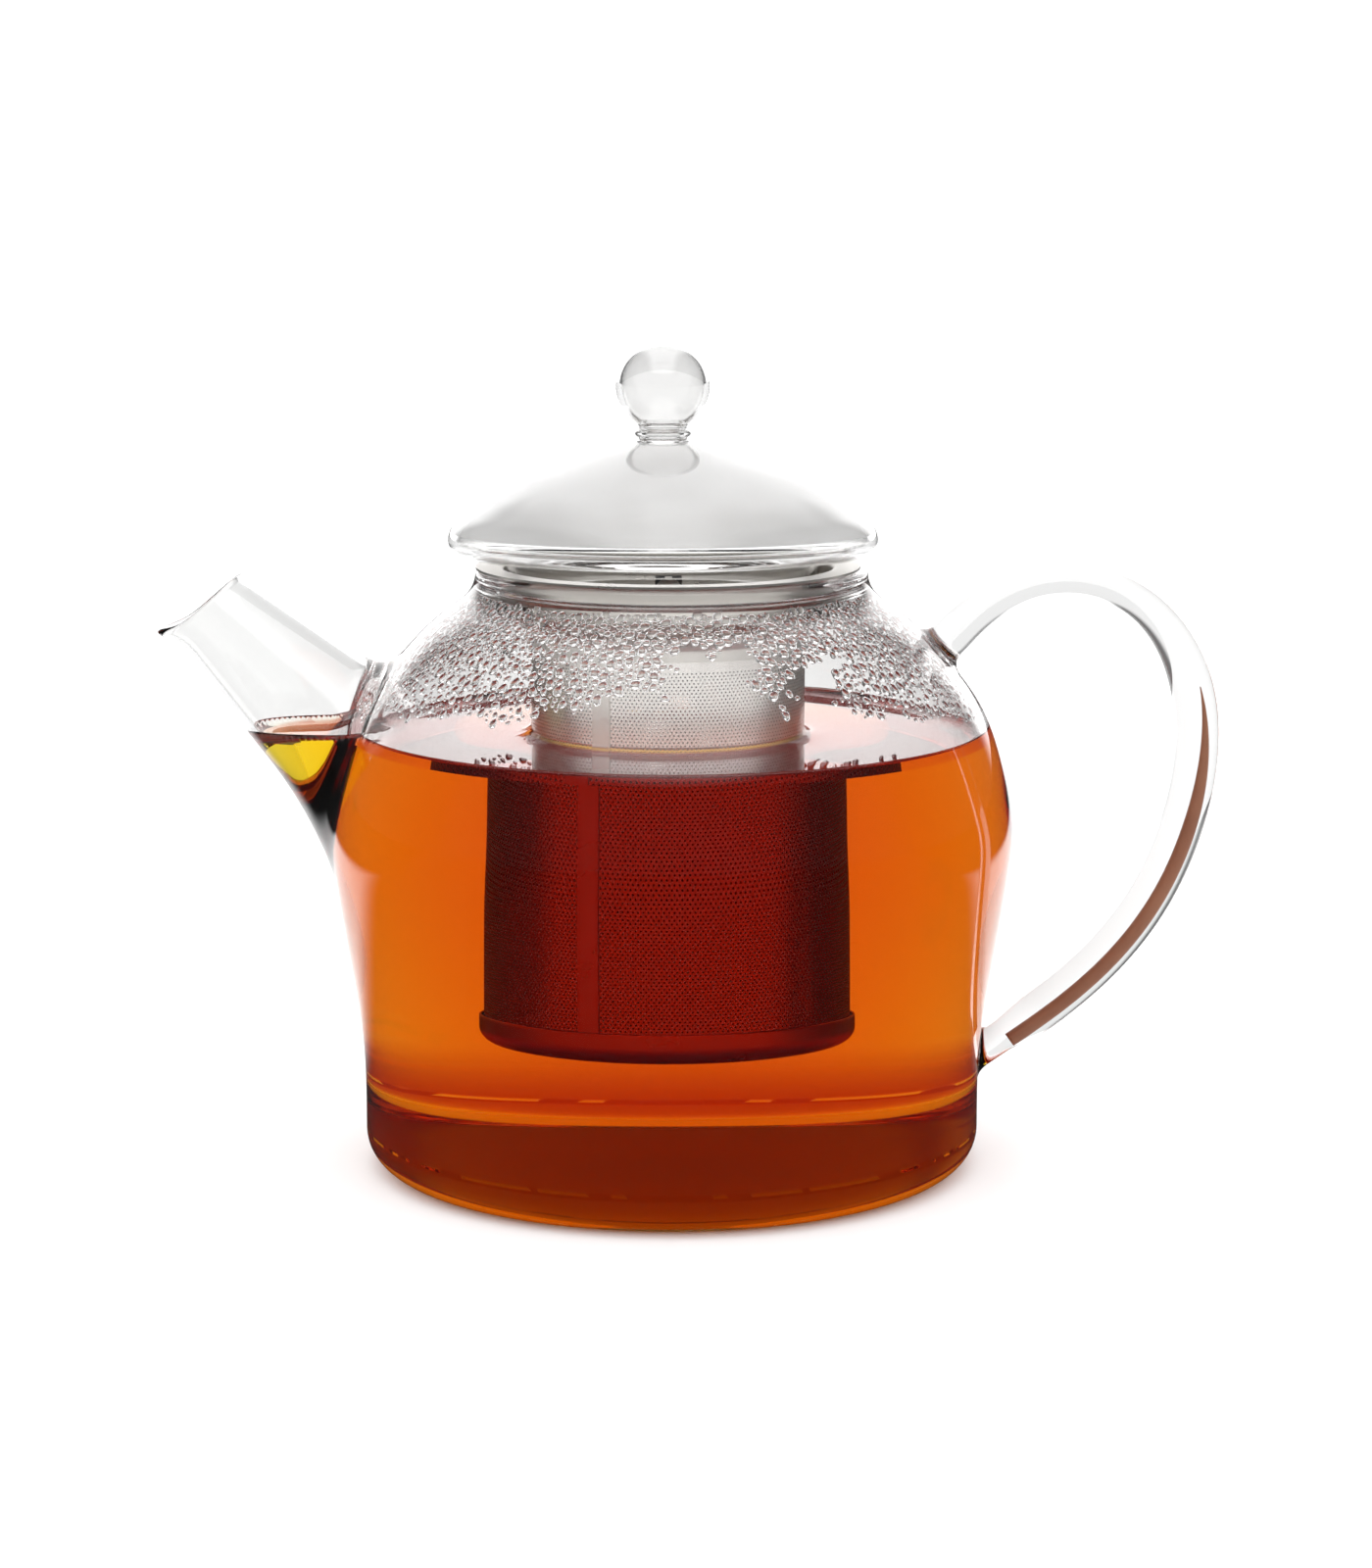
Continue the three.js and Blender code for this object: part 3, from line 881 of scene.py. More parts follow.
def add_spout(surface, numbers, outer_hole, inner_hole):
    """The spout, out along its outside, round its mouth and back along its inside."""
    half_wall = SPOUT_WALL / 2
    outer, inner = spout_tube(0), spout_tube(SPOUT_WALL)
    ring, outer_start, outer_turns = join_tube(
        surface, outer_hole.edge(numbers), outer_hole, outer, SPOUT_WAY,
        radius_on(FINE_SIDE), **SPOUT_OUTER,
    )
    inner_ring, inner_start, inner_turns = join_tube(
        surface, inner_hole.edge(numbers), inner_hole, inner, SPOUT_WAY,
        radius_on(FINE_INSIDE), **SPOUT_INNER,
    )
    order, inner_turns = matched(inner_turns, outer_turns)
    inner_ring, inner_start = inner_ring[order], inner_start[order]
    end = SPOUT_LENGTH - half_wall
    rows = []
    for share in np.linspace(0, 1, 42)[1:]:
        ease = 1 - (1 - share) ** 1.5
        rows.append(outer(outer_start + (end - outer_start) * ease, outer_turns))
    for angle in np.linspace(0, np.pi, 9)[1:-1]:
        from_mouth = half_wall * (1 - math.sin(angle))
        radius = spout_radius(from_mouth) - half_wall + half_wall * math.cos(angle)
        rows.append(spout_point(from_mouth, radius, outer_turns))
    for share in np.linspace(1, 0, 42)[:-1]:
        ease = 1 - (1 - share) ** 1.5
        turns = inner_turns + (outer_turns - inner_turns) * ease
        rows.append(inner(inner_start + (end - inner_start) * ease, turns))
    tube = surface.rings(rows)
    surface.strip(ring, tube[0])
    surface.strip(tube[-1], inner_ring)


def add_handle(surface, numbers, upper_hole, lower_hole):
    """The handle's rod between its two welds."""
    outside = radius_on(FINE_SIDE)
    upper_ring, upper_start, upper_turns = join_tube(
        surface, upper_hole.edge(numbers), upper_hole, handle_point, HANDLE_WAY,
        outside, spread=2.6, reach=3.2,
    )

    def from_lower_end(distance, turn):
        return handle_point(HANDLE_LENGTH - distance, turn)

    lower_ring, lower_start, lower_turns = join_tube(
        surface, lower_hole.edge(numbers), lower_hole, from_lower_end, HANDLE_WAY,
        outside, spread=2.2, reach=3.2,
    )
    order, end_turns = matched(lower_turns, upper_turns)
    end = HANDLE_LENGTH - lower_start[order]
    rows = []
    for share in np.linspace(0, 1, HANDLE_RINGS)[1:-1]:
        turns = upper_turns + (end_turns - upper_turns) * share
        rows.append(handle_point(upper_start + (end - upper_start) * share, turns))
    rod = surface.rings(rows)
    surface.strip(upper_ring, rod[0])
    surface.strip(rod[-1], lower_ring[order])


def make_pot(clear, wet):
    """The bowl, the spout and the handle, which are fused into one piece of glass."""
    side = bowl_side(SIDE_ROWS)
    outside = chain(base_outline(0), side)
    rim_middle = RIM_TOP - RIM_ROUNDING
    bead_bottom = RIM_TOP - RIM_DEPTH
    rim = chain(
        arc((RIM_OUTER - RIM_ROUNDING, rim_middle), RIM_ROUNDING, 0, 90, 6),
        arc((RIM_INNER + RIM_ROUNDING, rim_middle), RIM_ROUNDING, 90, 180, 6),
        arc((RIM_INNER + RIM_ROUNDING, bead_bottom + RIM_ROUNDING), RIM_ROUNDING, 180, 270, 6),
    )
    inside_side = offset(side, -GLASS_WALL)
    inside_side = inside_side[inside_side[:, 1] < bead_bottom - 1.2]
    inside = chain(base_outline(GLASS_WALL), inside_side)[::-1]
    outline = chain(outside, rim, inside)
    top_row = len(outside)
    inside_start = len(outline) - len(inside)
    outer_hole = hole_in(outline, 0, top_row, SPOUT_HOLE, 180)
    inner_hole = hole_in(outline, inside_start, len(outline), SPOUT_HOLE, 180)
    upper_hole = hole_in(outline, 0, top_row, UPPER_HOLE, 0)
    lower_hole = hole_in(outline, 0, top_row, LOWER_HOLE, 0)
    surface = Surface()
    numbers = surface.turned(outline, POT_SEGMENTS, (outer_hole, inner_hole, upper_hole, lower_hole))
    add_spout(surface, numbers, outer_hole, inner_hole)
    add_handle(surface, numbers, upper_hole, lower_hole)
    mark_wet(surface)
    new_piece(
        "pot_glass", surface, (clear, wet), "pot",
        ("pot_bowl", "rim_bead", "spout", "handle", "handle_upper_weld", "handle_lower_weld"),
    )


def mark_wet(surface):
    """Puts the faces of the inside that the tea touches in the second zone."""
    reach = radius_on(FINE_SIDE)
    for quads, zones in zip(surface.faces, surface.zones):
        middle = surface.points[quads].mean(axis=1)
        radius = np.hypot(middle[:, 0], middle[:, 1])
        in_bowl = radius < reach(middle[:, 2]) - GLASS_WALL / 2
        in_spout = inside_spout(middle, SPOUT_WALL / 2)
        low = (middle[:, 2] < TEA_LEVEL + 1) & (middle[:, 2] > GLASS_WALL / 2)
        zones[low & (in_bowl | in_spout)] = 1


def inside_spout(points, inset):
    """Which points are closer to the spout's axis than its wall, moved inwards by inset."""
    along = np.array((-math.cos(SPOUT_RISE), 0, math.sin(SPOUT_RISE)))
    from_mouth = -(points - SPOUT_MOUTH) @ along
    on_axis = SPOUT_MOUTH - from_mouth[:, None] * along
    away = np.linalg.norm(points - on_axis, axis=1)
    along_it = (from_mouth > 0) & (from_mouth < SPOUT_LENGTH + SPOUT_ROOT)
    return along_it & (away < spout_radius(from_mouth) - inset)


# ---------------------------------------------------------------- tea and drops


def tea_outline(side):
    """The outline of the tea's outside, from the axis at the bottom to above its surface."""
    grown = offset(side, OVERLAP - GLASS_WALL)
    return chain(base_outline(GLASS_WALL - OVERLAP), grown[grown[:, 1] < 122], ((0, 122.5),))


def make_tea(material):
    """The tea in the bowl and the spout, drawn up a little where it meets glass and steel."""
    side = bowl_side(SIDE_ROWS)
    outline = tea_outline(side)
    hole = hole_in(outline, 0, len(outline) - 1, SPOUT_HOLE, 180)
    surface = Surface()
    numbers = surface.turned(outline, POT_SEGMENTS, (hole,))
    bore = spout_tube(SPOUT_WALL - OVERLAP)
    ring, start, turns = join_tube(
        surface, hole.edge(numbers), hole, bore, SPOUT_WAY, radius_on(FINE_TEA_SIDE), **SPOUT_INNER
    )
    end = SPOUT_LENGTH - TEA_TIP
    rows = [bore(start + (end - start) * share, turns) for share in np.linspace(0, 1, 30)[1:]]
    tube = surface.rings(rows)
    surface.strip(ring, tube[0])
    surface.fan(tube[-1], spout_point(TEA_TIP, 0.0, 0.0))
    cut_level(new_piece("tea", surface, (material,), "pot"), TEA_LEVEL + MENISCUS)


def cut_level(piece, height):
    """Cuts a piece off level and closes it with a surface that curves down from its edge."""
    mesh = bmesh.new()
    mesh.from_mesh(piece.data)
    bmesh.ops.bisect_plane(
        mesh, geom=mesh.verts[:] + mesh.edges[:] + mesh.faces[:], dist=1e-7,
        plane_co=(0, 0, height / 1000), plane_no=(0, 0, 1), clear_outer=True,
    )
    rim = [v for v in mesh.verts if any(e.is_boundary for e in v.link_edges)]
    rim.sort(key=lambda v: math.atan2(v.co.y, v.co.x))
    places = np.array([v.co[:2] for v in rim]) * 1000
    previous = rim
    for share in surface_shares()[1:]:
        row = []
        for x, y in places * share:
            wall = np.hypot(*(places - (x, y)).T).min()
            steel = abs(math.hypot(x - INFUSER_X, y) - BASKET_RADIUS + SHEET / 2)
            share_up = max(math.exp(-wall / MENISCUS_WIDTH), math.exp(-steel / STEEL_MENISCUS_WIDTH))
            rise = MENISCUS * share_up
            row.append(mesh.verts.new((x / 1000, y / 1000, (TEA_LEVEL + rise) / 1000)))
        join_rows(mesh, previous, row)
        previous = row
    middle = mesh.verts.new((0, 0, TEA_LEVEL / 1000))
    for a, b in zip(previous, previous[1:] + previous[:1]):
        mesh.faces.new((a, b, middle))
    for face in mesh.faces:
        face.smooth = True
    bmesh.ops.recalc_face_normals(mesh, faces=mesh.faces[:])
    mesh.to_mesh(piece.data)
    mesh.free()


def surface_shares():
    """How far out the rings of the tea's surface are, closer together at the glass and the steel."""
    near_glass = 1 - np.array((0, 0.25, 0.5, 0.8, 1.2, 1.7, 2.4, 3.4, 5, 7, 10)) / TEA_RADIUS
    steps = np.array((5, 3.5, 2.4, 1.6, 1, 0.6, 0.3, 0, -0.3, -0.6, -1, -1.6, -2.4, -4))
    near_steel = BASKET_RADIUS / TEA_RADIUS + steps / TEA_RADIUS
    between_them = np.linspace(near_glass[-1], near_steel[0], 10)[1:-1]
    return np.r_[near_glass, between_them, near_steel, np.linspace(near_steel[-1], 0.02, 12)[1:]]


def join_rows(mesh, outer, inner):
    for i in range(len(outer)):
        j = (i + 1) % len(outer)
        mesh.faces.new((outer[i], outer[j], inner[j], inner[i]))


def hash_waves(angle, seed, count=7, first=2):
    """A smooth ragged function of an angle between about -1 and 1."""
    rng = np.random.default_rng(seed)
    total = np.zeros_like(angle)
    for k in range(count):
        turns = first + int(rng.integers(1, 6)) + 3 * k
        total += np.sin(turns * angle + rng.uniform(0, 2 * np.pi)) / (1 + 0.35 * k)
    return total / 2.6


def scattered(rng, width, height, sizes, wanted):
    """Places (x, y, radius) packed side by side in a band that joins up across its width."""
    cell = sizes[0] * 2.2
    cells = {}
    places = []
    columns = max(1, int(width / cell))
    for radius in sizes:
        for _ in range(wanted):
            x, y = rng.uniform(0, width), rng.uniform(0, height)
            column, row = int(x / width * columns), int(y / cell)
            near = [
                p for i in (-1, 0, 1) for j in (-1, 0, 1)
                for p in cells.get(((column + i) % columns, row + j), ())
            ]
            if not any(
                min(abs(px - x), width - abs(px - x)) ** 2 + (py - y) ** 2 < (0.93 * (pr + radius)) ** 2
                for px, py, pr in near
            ):
                cells.setdefault((column, row), []).append((x, y, radius))
                places.append((x, y, radius))
    return np.array(places)


def drop_surface(centres, normals, radii, rng):
    """Flattened drops sitting on a wall; normals point away from the wall."""
    up = np.array((0.0, 0.0, 1.0))
    right = np.cross(up, normals)
    right /= np.linalg.norm(right, axis=1)[:, None]
    rise = np.cross(normals, right)
    turn = full_turn(DROP_SIDES)
    count = len(centres)
    wobble = 1 + 0.16 * np.sin(2 * turn + rng.uniform(0, 6.28, (count, 1)))
    wobble += 0.12 * np.sin(3 * turn + rng.uniform(0, 6.28, (count, 1)))
    height = radii * rng.uniform(0.42, 0.62, count)
    long = 1 + 0.35 * np.clip(radii - 0.6, 0, 1)
    rings = []
    for share, lift in ((1.0, -DROP_SUNK), (0.86, 0.62), (0.45, 0.93)):
        reach = radii[:, None] * wobble * share
        level = height * lift if lift > 0 else np.full(count, lift)
        sideways = np.cos(turn)[:, None] * right[:, None]
        upwards = (np.sin(turn)[:, None] * rise[:, None]) * long[:, None, None]
        spread = reach[..., None] * (sideways + upwards)
        rings.append(centres[:, None] + spread + level[:, None, None] * normals[:, None])
    surface = Surface()
    low, middle, high = (surface.add(ring) for ring in rings)
    top = surface.add(centres + height[:, None] * normals)
    bottom = surface.add(centres - DROP_SUNK * normals)
    for a, b in ((low, middle), (middle, high)):
        surface.add_faces(np.stack([a, np.roll(a, -1, 1), np.roll(b, -1, 1), b], axis=-1))
    tops = np.repeat(top[:, None], DROP_SIDES, 1)
    bottoms = np.repeat(bottom[:, None], DROP_SIDES, 1)
    surface.add_faces(np.stack([high, np.roll(high, -1, 1), tops, tops], axis=-1))
    surface.add_faces(np.stack([np.roll(low, -1, 1), low, bottoms, bottoms], axis=-1))
    return surface


def make_condensation(material):
    """Drops on the inside of the shoulder, in a ragged band with a clear patch in front."""
    rng = np.random.default_rng(DROP_SEED)
    inside = FINE_INSIDE[(FINE_INSIDE[:, 1] > DROP_BAND[0]) & (FINE_INSIDE[:, 1] < DROP_BAND[1])]
    length = np.r_[0, np.cumsum(np.linalg.norm(np.diff(inside, axis=0), axis=1))]
    places = scattered(rng, 2 * np.pi * DROP_BAND_RADIUS, length[-1], DROP_SIZES, DROP_TRIES)
    angle = places[:, 0] / DROP_BAND_RADIUS
    z = np.interp(places[:, 1], length, inside[:, 1])
    radius = np.interp(places[:, 1], length, inside[:, 0])
    along = directions(inside)
    slope_r = np.interp(places[:, 1], length, along[:, 0])
    slope_z = np.interp(places[:, 1], length, along[:, 1])
    centres = round_axis(radius, angle, z)
    normals = round_axis(-slope_z, angle, slope_r)
    front = centres[:, 1] < 0
    facing = np.clip(-np.sin(angle), 0, 1)
    lowest = np.where(front, 101.5 + 9.5 * facing**1.5, 101.5 + 12 * np.clip(np.sin(angle), 0, 1))
    lowest += 1.6 * hash_waves(angle, 3) + 0.9 * hash_waves(angle, 8, 5, 20)
    x = centres[:, 0] + 1.4 * np.sin(centres[:, 2] * 1.1) + 0.8 * np.sin(centres[:, 2] * 2.9)
    ragged = z + 1.3 * hash_waves(angle, 5, 5, 25)
    dry = front & (x > 0) & (x < 16 + 0.3 * (z - 113)) & (ragged > 113) & (ragged < 122)
    dry |= front & (x > -15) & (x < 24) & (ragged < 114)
    dry |= front & (x > 25) & (x < 34) & (ragged < 119)
    dry |= front & (x > -31) & (x < -23) & (ragged < 109)
    keep = (z > lowest) & ~dry
    scale = np.where(z > 112, 1.0, 0.85)
    for name, chosen in (("front", keep & front), ("back", keep & ~front)):
        surface = drop_surface(centres[chosen], normals[chosen], (places[:, 2] * scale)[chosen], rng)
        new_piece(f"condensation_{name}", surface, (material,), "pot")


# ---------------------------------------------------------------- infuser


def collar_outline():
    """The outside of the infuser's collar, from its lower edge over the flange to its rim."""
    top = RIM_TOP + GAP + SHEET
    low = BASKET_RADIUS + GAP + SHEET
    funnel = bezier(
        (low, FUNNEL_BOTTOM), (BASKET_RADIUS + 1.4, FUNNEL_BOTTOM + 2.4),
        (COLLAR_RADIUS - 0.6, COLLAR_BOTTOM - 2.8), (COLLAR_RADIUS, COLLAR_BOTTOM), 14,
    )
    wall_top = top - SHEET - 0.8
    return chain(
        line((low, FUNNEL_BOTTOM - COLLAR_OVERLAP), (low, FUNNEL_BOTTOM), 3),
        funnel,
        line((COLLAR_RADIUS, COLLAR_BOTTOM), (COLLAR_RADIUS, WINDOW_BOTTOM), 2),
        line((COLLAR_RADIUS, WINDOW_BOTTOM), (COLLAR_RADIUS, WINDOW_BOTTOM + WINDOW_HEIGHT), 8),
        line((COLLAR_RADIUS, WINDOW_BOTTOM + WINDOW_HEIGHT), (COLLAR_RADIUS, wall_top), 6),
        arc((COLLAR_RADIUS + 0.8, wall_top), 0.8, 180, 90, 5),
        line((COLLAR_RADIUS + 0.8, top - SHEET), (FLANGE_RADIUS, top - SHEET), 6),
    )


def bezier(a, b, c, d, steps):
    t = np.linspace(0, 1, steps + 1)[:, None]
    a, b, c, d = (np.array(p, float) for p in (a, b, c, d))
    return a * (1 - t) ** 3 + 3 * b * t * (1 - t) ** 2 + 3 * c * t**2 * (1 - t) + d * t**3


def make_collar(material, dark):
    """The collar with its flange, its three windows and their tongues."""
    segments = 288
    outside = collar_outline()
    inside = offset(outside, -SHEET)
    skins = [
        round_axis(outline[:, :1], full_turn(segments), outline[:, 1:]).reshape(-1, 3)
        for outline in (outside, inside)
    ]
    numbers = np.arange(len(outside) * segments).reshape(len(outside), segments)
    low, high = numbers[:-1], numbers[1:]
    quads = np.stack([low, np.roll(low, -1, 1), np.roll(high, -1, 1), high], axis=-1)
    keep = np.ones(quads.shape[:2], bool)
    height = (outside[:-1, 1] + outside[1:, 1]) / 2
    on_wall_rows = np.abs(outside[:-1, 0] - COLLAR_RADIUS) < 0.01
    in_window = on_wall_rows & (height > WINDOW_BOTTOM) & (height < WINDOW_BOTTOM + WINDOW_HEIGHT)
    half = round(WINDOW_WIDTH / 2 / COLLAR_RADIUS / (2 * np.pi) * segments)
    for degrees in WINDOW_ANGLES:
        middle = round(degrees / 360 * segments)
        columns = np.arange(middle - half, middle + half) % segments
        keep[np.ix_(in_window, columns)] = False
    surface = thickened(*skins, quads[keep])
    for degrees in WINDOW_ANGLES:
        add_tongue(surface, math.radians(degrees))
    surface.zone = 1
    for degrees in WINDOW_ANGLES:
        add_backing(surface, math.radians(degrees))
    new_piece(
        "infuser_collar_steel", surface, (material, dark), "infuser",
        ("infuser_collar",), INFUSER_X, 50,
    )


def add_backing(surface, direction):
    """A curved plate just outside a window. It is no part of the infuser: it makes the window dark."""
    half = (WINDOW_WIDTH / 2 + 0.5) / COLLAR_RADIUS
    angle = direction + np.linspace(-half, half, 9)
    height = WINDOW_BOTTOM + np.array((-0.5, WINDOW_HEIGHT + 0.5))
    sheet = curved_sheet((COLLAR_RADIUS + 0.7, COLLAR_RADIUS + 0.4), angle, height)
    surface.take_in(sheet, sheet.points)


def curved_sheet(radii, angle, height):
    """A sheet curved around the axis, between an outer and an inner radius."""
    skins = [round_axis(radius, angle, height[:, None]).reshape(-1, 3) for radius in radii]
    return thickened(*skins, grid(len(height), len(angle)))


def add_tongue(surface, direction):
    """The three-cornered tongue left by the punch, which bends inward from a ledge under the window."""
    steps = 10
    profile = chain(
        line((0.35, -0.45), (-0.9, -0.25), 3),
        arc((-0.9, 0.15), 0.4, -90, -170, 3),
        line((-1.3, 0.3), (-1.3 - math.tan(TONGUE_LEAN) * 2.9, WINDOW_HEIGHT - 0.7), steps),
    )
    narrowing = (WINDOW_WIDTH * 0.46, WINDOW_WIDTH * 0.1)
    widths = np.interp(profile[:, 1], (0.3, WINDOW_HEIGHT - 0.7), narrowing)
    skins = []
    for inset in (0.0, SHEET):
        moved = offset(profile, inset) if inset else profile
        rows = [
            [
                (COLLAR_RADIUS - SHEET + p[0], w * side, WINDOW_BOTTOM + p[1])
                for side in np.linspace(-1, 1, 7)
            ]
            for p, w in zip(moved, widths)
        ]
        skins.append(np.array(rows).reshape(-1, 3))
    sheet = thickened(*skins, grid(len(profile), 7))
    cosine, sine = math.cos(direction), math.sin(direction)
    surface.take_in(sheet, sheet.points @ np.array(((cosine, sine, 0), (-sine, cosine, 0), (0, 0, 1))))


def make_basket_wall(material, inner):
    """The rolled sheet with its fine holes, in four quarters."""
    bottom = BASKET_BOTTOM + CUP_CORNER + 0.6
    top = FUNNEL_BOTTOM
    first_row = BASKET_BOTTOM + CUP_HEIGHT + 0.9
    row_step = (LAST_HOLE_ROW - first_row) / (HOLE_ROWS - 1)
    quarter = HOLE_COLUMNS // 4
    names = ("right_back", "left_back", "left_front", "right_front")
    for index, name in enumerate(names):
        flat, quads = perforated_sheet(quarter, first_row, row_step, bottom, top)
        angle = (flat[:, 0] + index * quarter) * 2 * np.pi / HOLE_COLUMNS
        radii = (BASKET_RADIUS, BASKET_RADIUS - BASKET_SHEET)
        # The inner skin and the walls of the holes take the second material, a dark copy of the steel
        # that paints shade.
        surface = thickened(*[round_axis(radius, angle, flat[:, 1]) for radius in radii], quads, 1)
        new_piece(
            f"infuser_basket_{name}", surface, (material, inner), "infuser",
            ("infuser_basket_wall",), INFUSER_X, 40,
        )


def perforated_sheet(columns, first_row, row_step, bottom, top):
    """A band of a flat sheet, (columns, height), with six-sided holes in rows that are staggered."""
    pitch = 2 * np.pi * BASKET_RADIUS / HOLE_COLUMNS
    corner = np.radians(30 + 60 * np.arange(6))
    column, row = np.meshgrid(np.arange(columns + 2), np.arange(HOLE_ROWS))
    across = (column + 0.5 * (row % 2))[..., None] + HOLE_RADIUS / pitch * np.cos(corner)
    height = (first_row + row * row_step)[..., None] + HOLE_RADIUS * np.sin(corner)
    points = np.stack([across, height], axis=-1).reshape(-1, 2)
    number = np.arange(len(points)).reshape(across.shape)
    here, east = number[:, :columns], number[:, 1:columns + 1]
    faces = [(here[..., 5], east[..., 3], east[..., 2], here[..., 0])]
    for first in (0, 1):
        lower, upper = number[first:HOLE_ROWS - 1:2], number[first + 1::2]
        here, east = lower[:, :columns], lower[:, 1:columns + 1]
        above, beyond = upper[:, first:columns + first], upper[:, first + 1:columns + first + 1]
        faces.append((here[..., 1], here[..., 0], above[..., 4], above[..., 3]))
        faces.append((here[..., 0], east[..., 2], above[..., 4], above[..., 4]))
        faces.append((east[..., 2], east[..., 1], above[..., 5], above[..., 4]))
        faces.append((east[..., 1], beyond[..., 3], above[..., 5], above[..., 5]))
    quads = [np.stack(face, axis=-1).reshape(-1, 4) for face in faces]
    lowest = number[0, :columns + 1][:, (3, 4, 5)].reshape(-1)[1:-1]
    highest = number[-1, :columns + 1][:, (2, 1, 0)].reshape(-1)[1:-1]
    plain_low = np.arange(len(points), len(points) + len(lowest))
    plain_high = plain_low + len(lowest)
    points = np.vstack([
        points,
        np.c_[points[lowest, 0], np.full(len(lowest), bottom)],
        np.c_[points[highest, 0], np.full(len(highest), top)],
    ])
    for low, high in ((plain_low, lowest), (highest, plain_high)):
        quads.append(np.stack([low[:-1], low[1:], high[1:], high[:-1]], axis=-1))
    return points, np.vstack(quads)


def make_seam(material):
    """The plain strip where the rolled sheet laps over itself."""
    inner, outer = BASKET_RADIUS + 0.02, BASKET_RADIUS + GAP
    half = SEAM_WIDTH / 2 / outer
    bottom = BASKET_BOTTOM + CUP_HEIGHT + GAP
    top = FUNNEL_BOTTOM - COLLAR_OVERLAP - GAP
    angle = SEAM_ANGLE + np.linspace(-half, half, 13)
    height = np.linspace(bottom, top, 25)
    new_piece(
        "infuser_seam", curved_sheet((outer, inner), angle, height), (material,), "infuser",
        ("infuser_seam_strip",), INFUSER_X, 50,
    )


def make_cup(material):
    """The pressed cup that closes the bottom of the basket."""
    radius = BASKET_RADIUS + GAP + SHEET
    outside = chain(
        line((0, BASKET_BOTTOM), (radius - CUP_CORNER, BASKET_BOTTOM), 10),
        arc((radius - CUP_CORNER, BASKET_BOTTOM + CUP_CORNER), CUP_CORNER, -90, 0, 12),
        line((radius, BASKET_BOTTOM + CUP_CORNER), (radius, BASKET_BOTTOM + CUP_HEIGHT), 4),
    )
    inside = offset(outside, -SHEET)
    inside[0] = (0, BASKET_BOTTOM + SHEET)
    edge = arc((radius - SHEET / 2, BASKET_BOTTOM + CUP_HEIGHT), SHEET / 2, 0, 180, 6)
    surface = Surface()
    surface.turned(chain(outside, edge, inside[::-1]), 200)
    new_piece(
        "infuser_cup", surface, (material,), "infuser",
        ("infuser_bottom_cup",), INFUSER_X,
    )


def make_leaves(material):
    """The tea leaves that fill the basket, seen through its holes."""
    rng = np.random.default_rng(LEAF_SEED)
    segments = 160
    bottom, top = BASKET_BOTTOM + CUP_CORNER, LEAF_TOP
    outline = chain(
        line((0, bottom), (LEAF_RADIUS, bottom), 8),
        line((LEAF_RADIUS, bottom), (LEAF_RADIUS, top), 90),
        line((LEAF_RADIUS, top), (0, top), 12),
    )[1:-1]
    rows = []
    for radius, height in outline:
        ragged = radius - LEAF_DEPTH * rng.random(segments) * (radius > LEAF_RADIUS / 2)
        lift = -LEAF_DEPTH * rng.random(segments) * (height > top - 0.1)
        rows.append(round_axis(ragged, full_turn(segments), height + lift))
    surface = Surface()
    surface.tube(rows, (0, 0, bottom), (0, 0, top))
    new_piece("tea_leaves", surface, (material,), "infuser", (), INFUSER_X)


# ---------------------------------------------------------------- lid


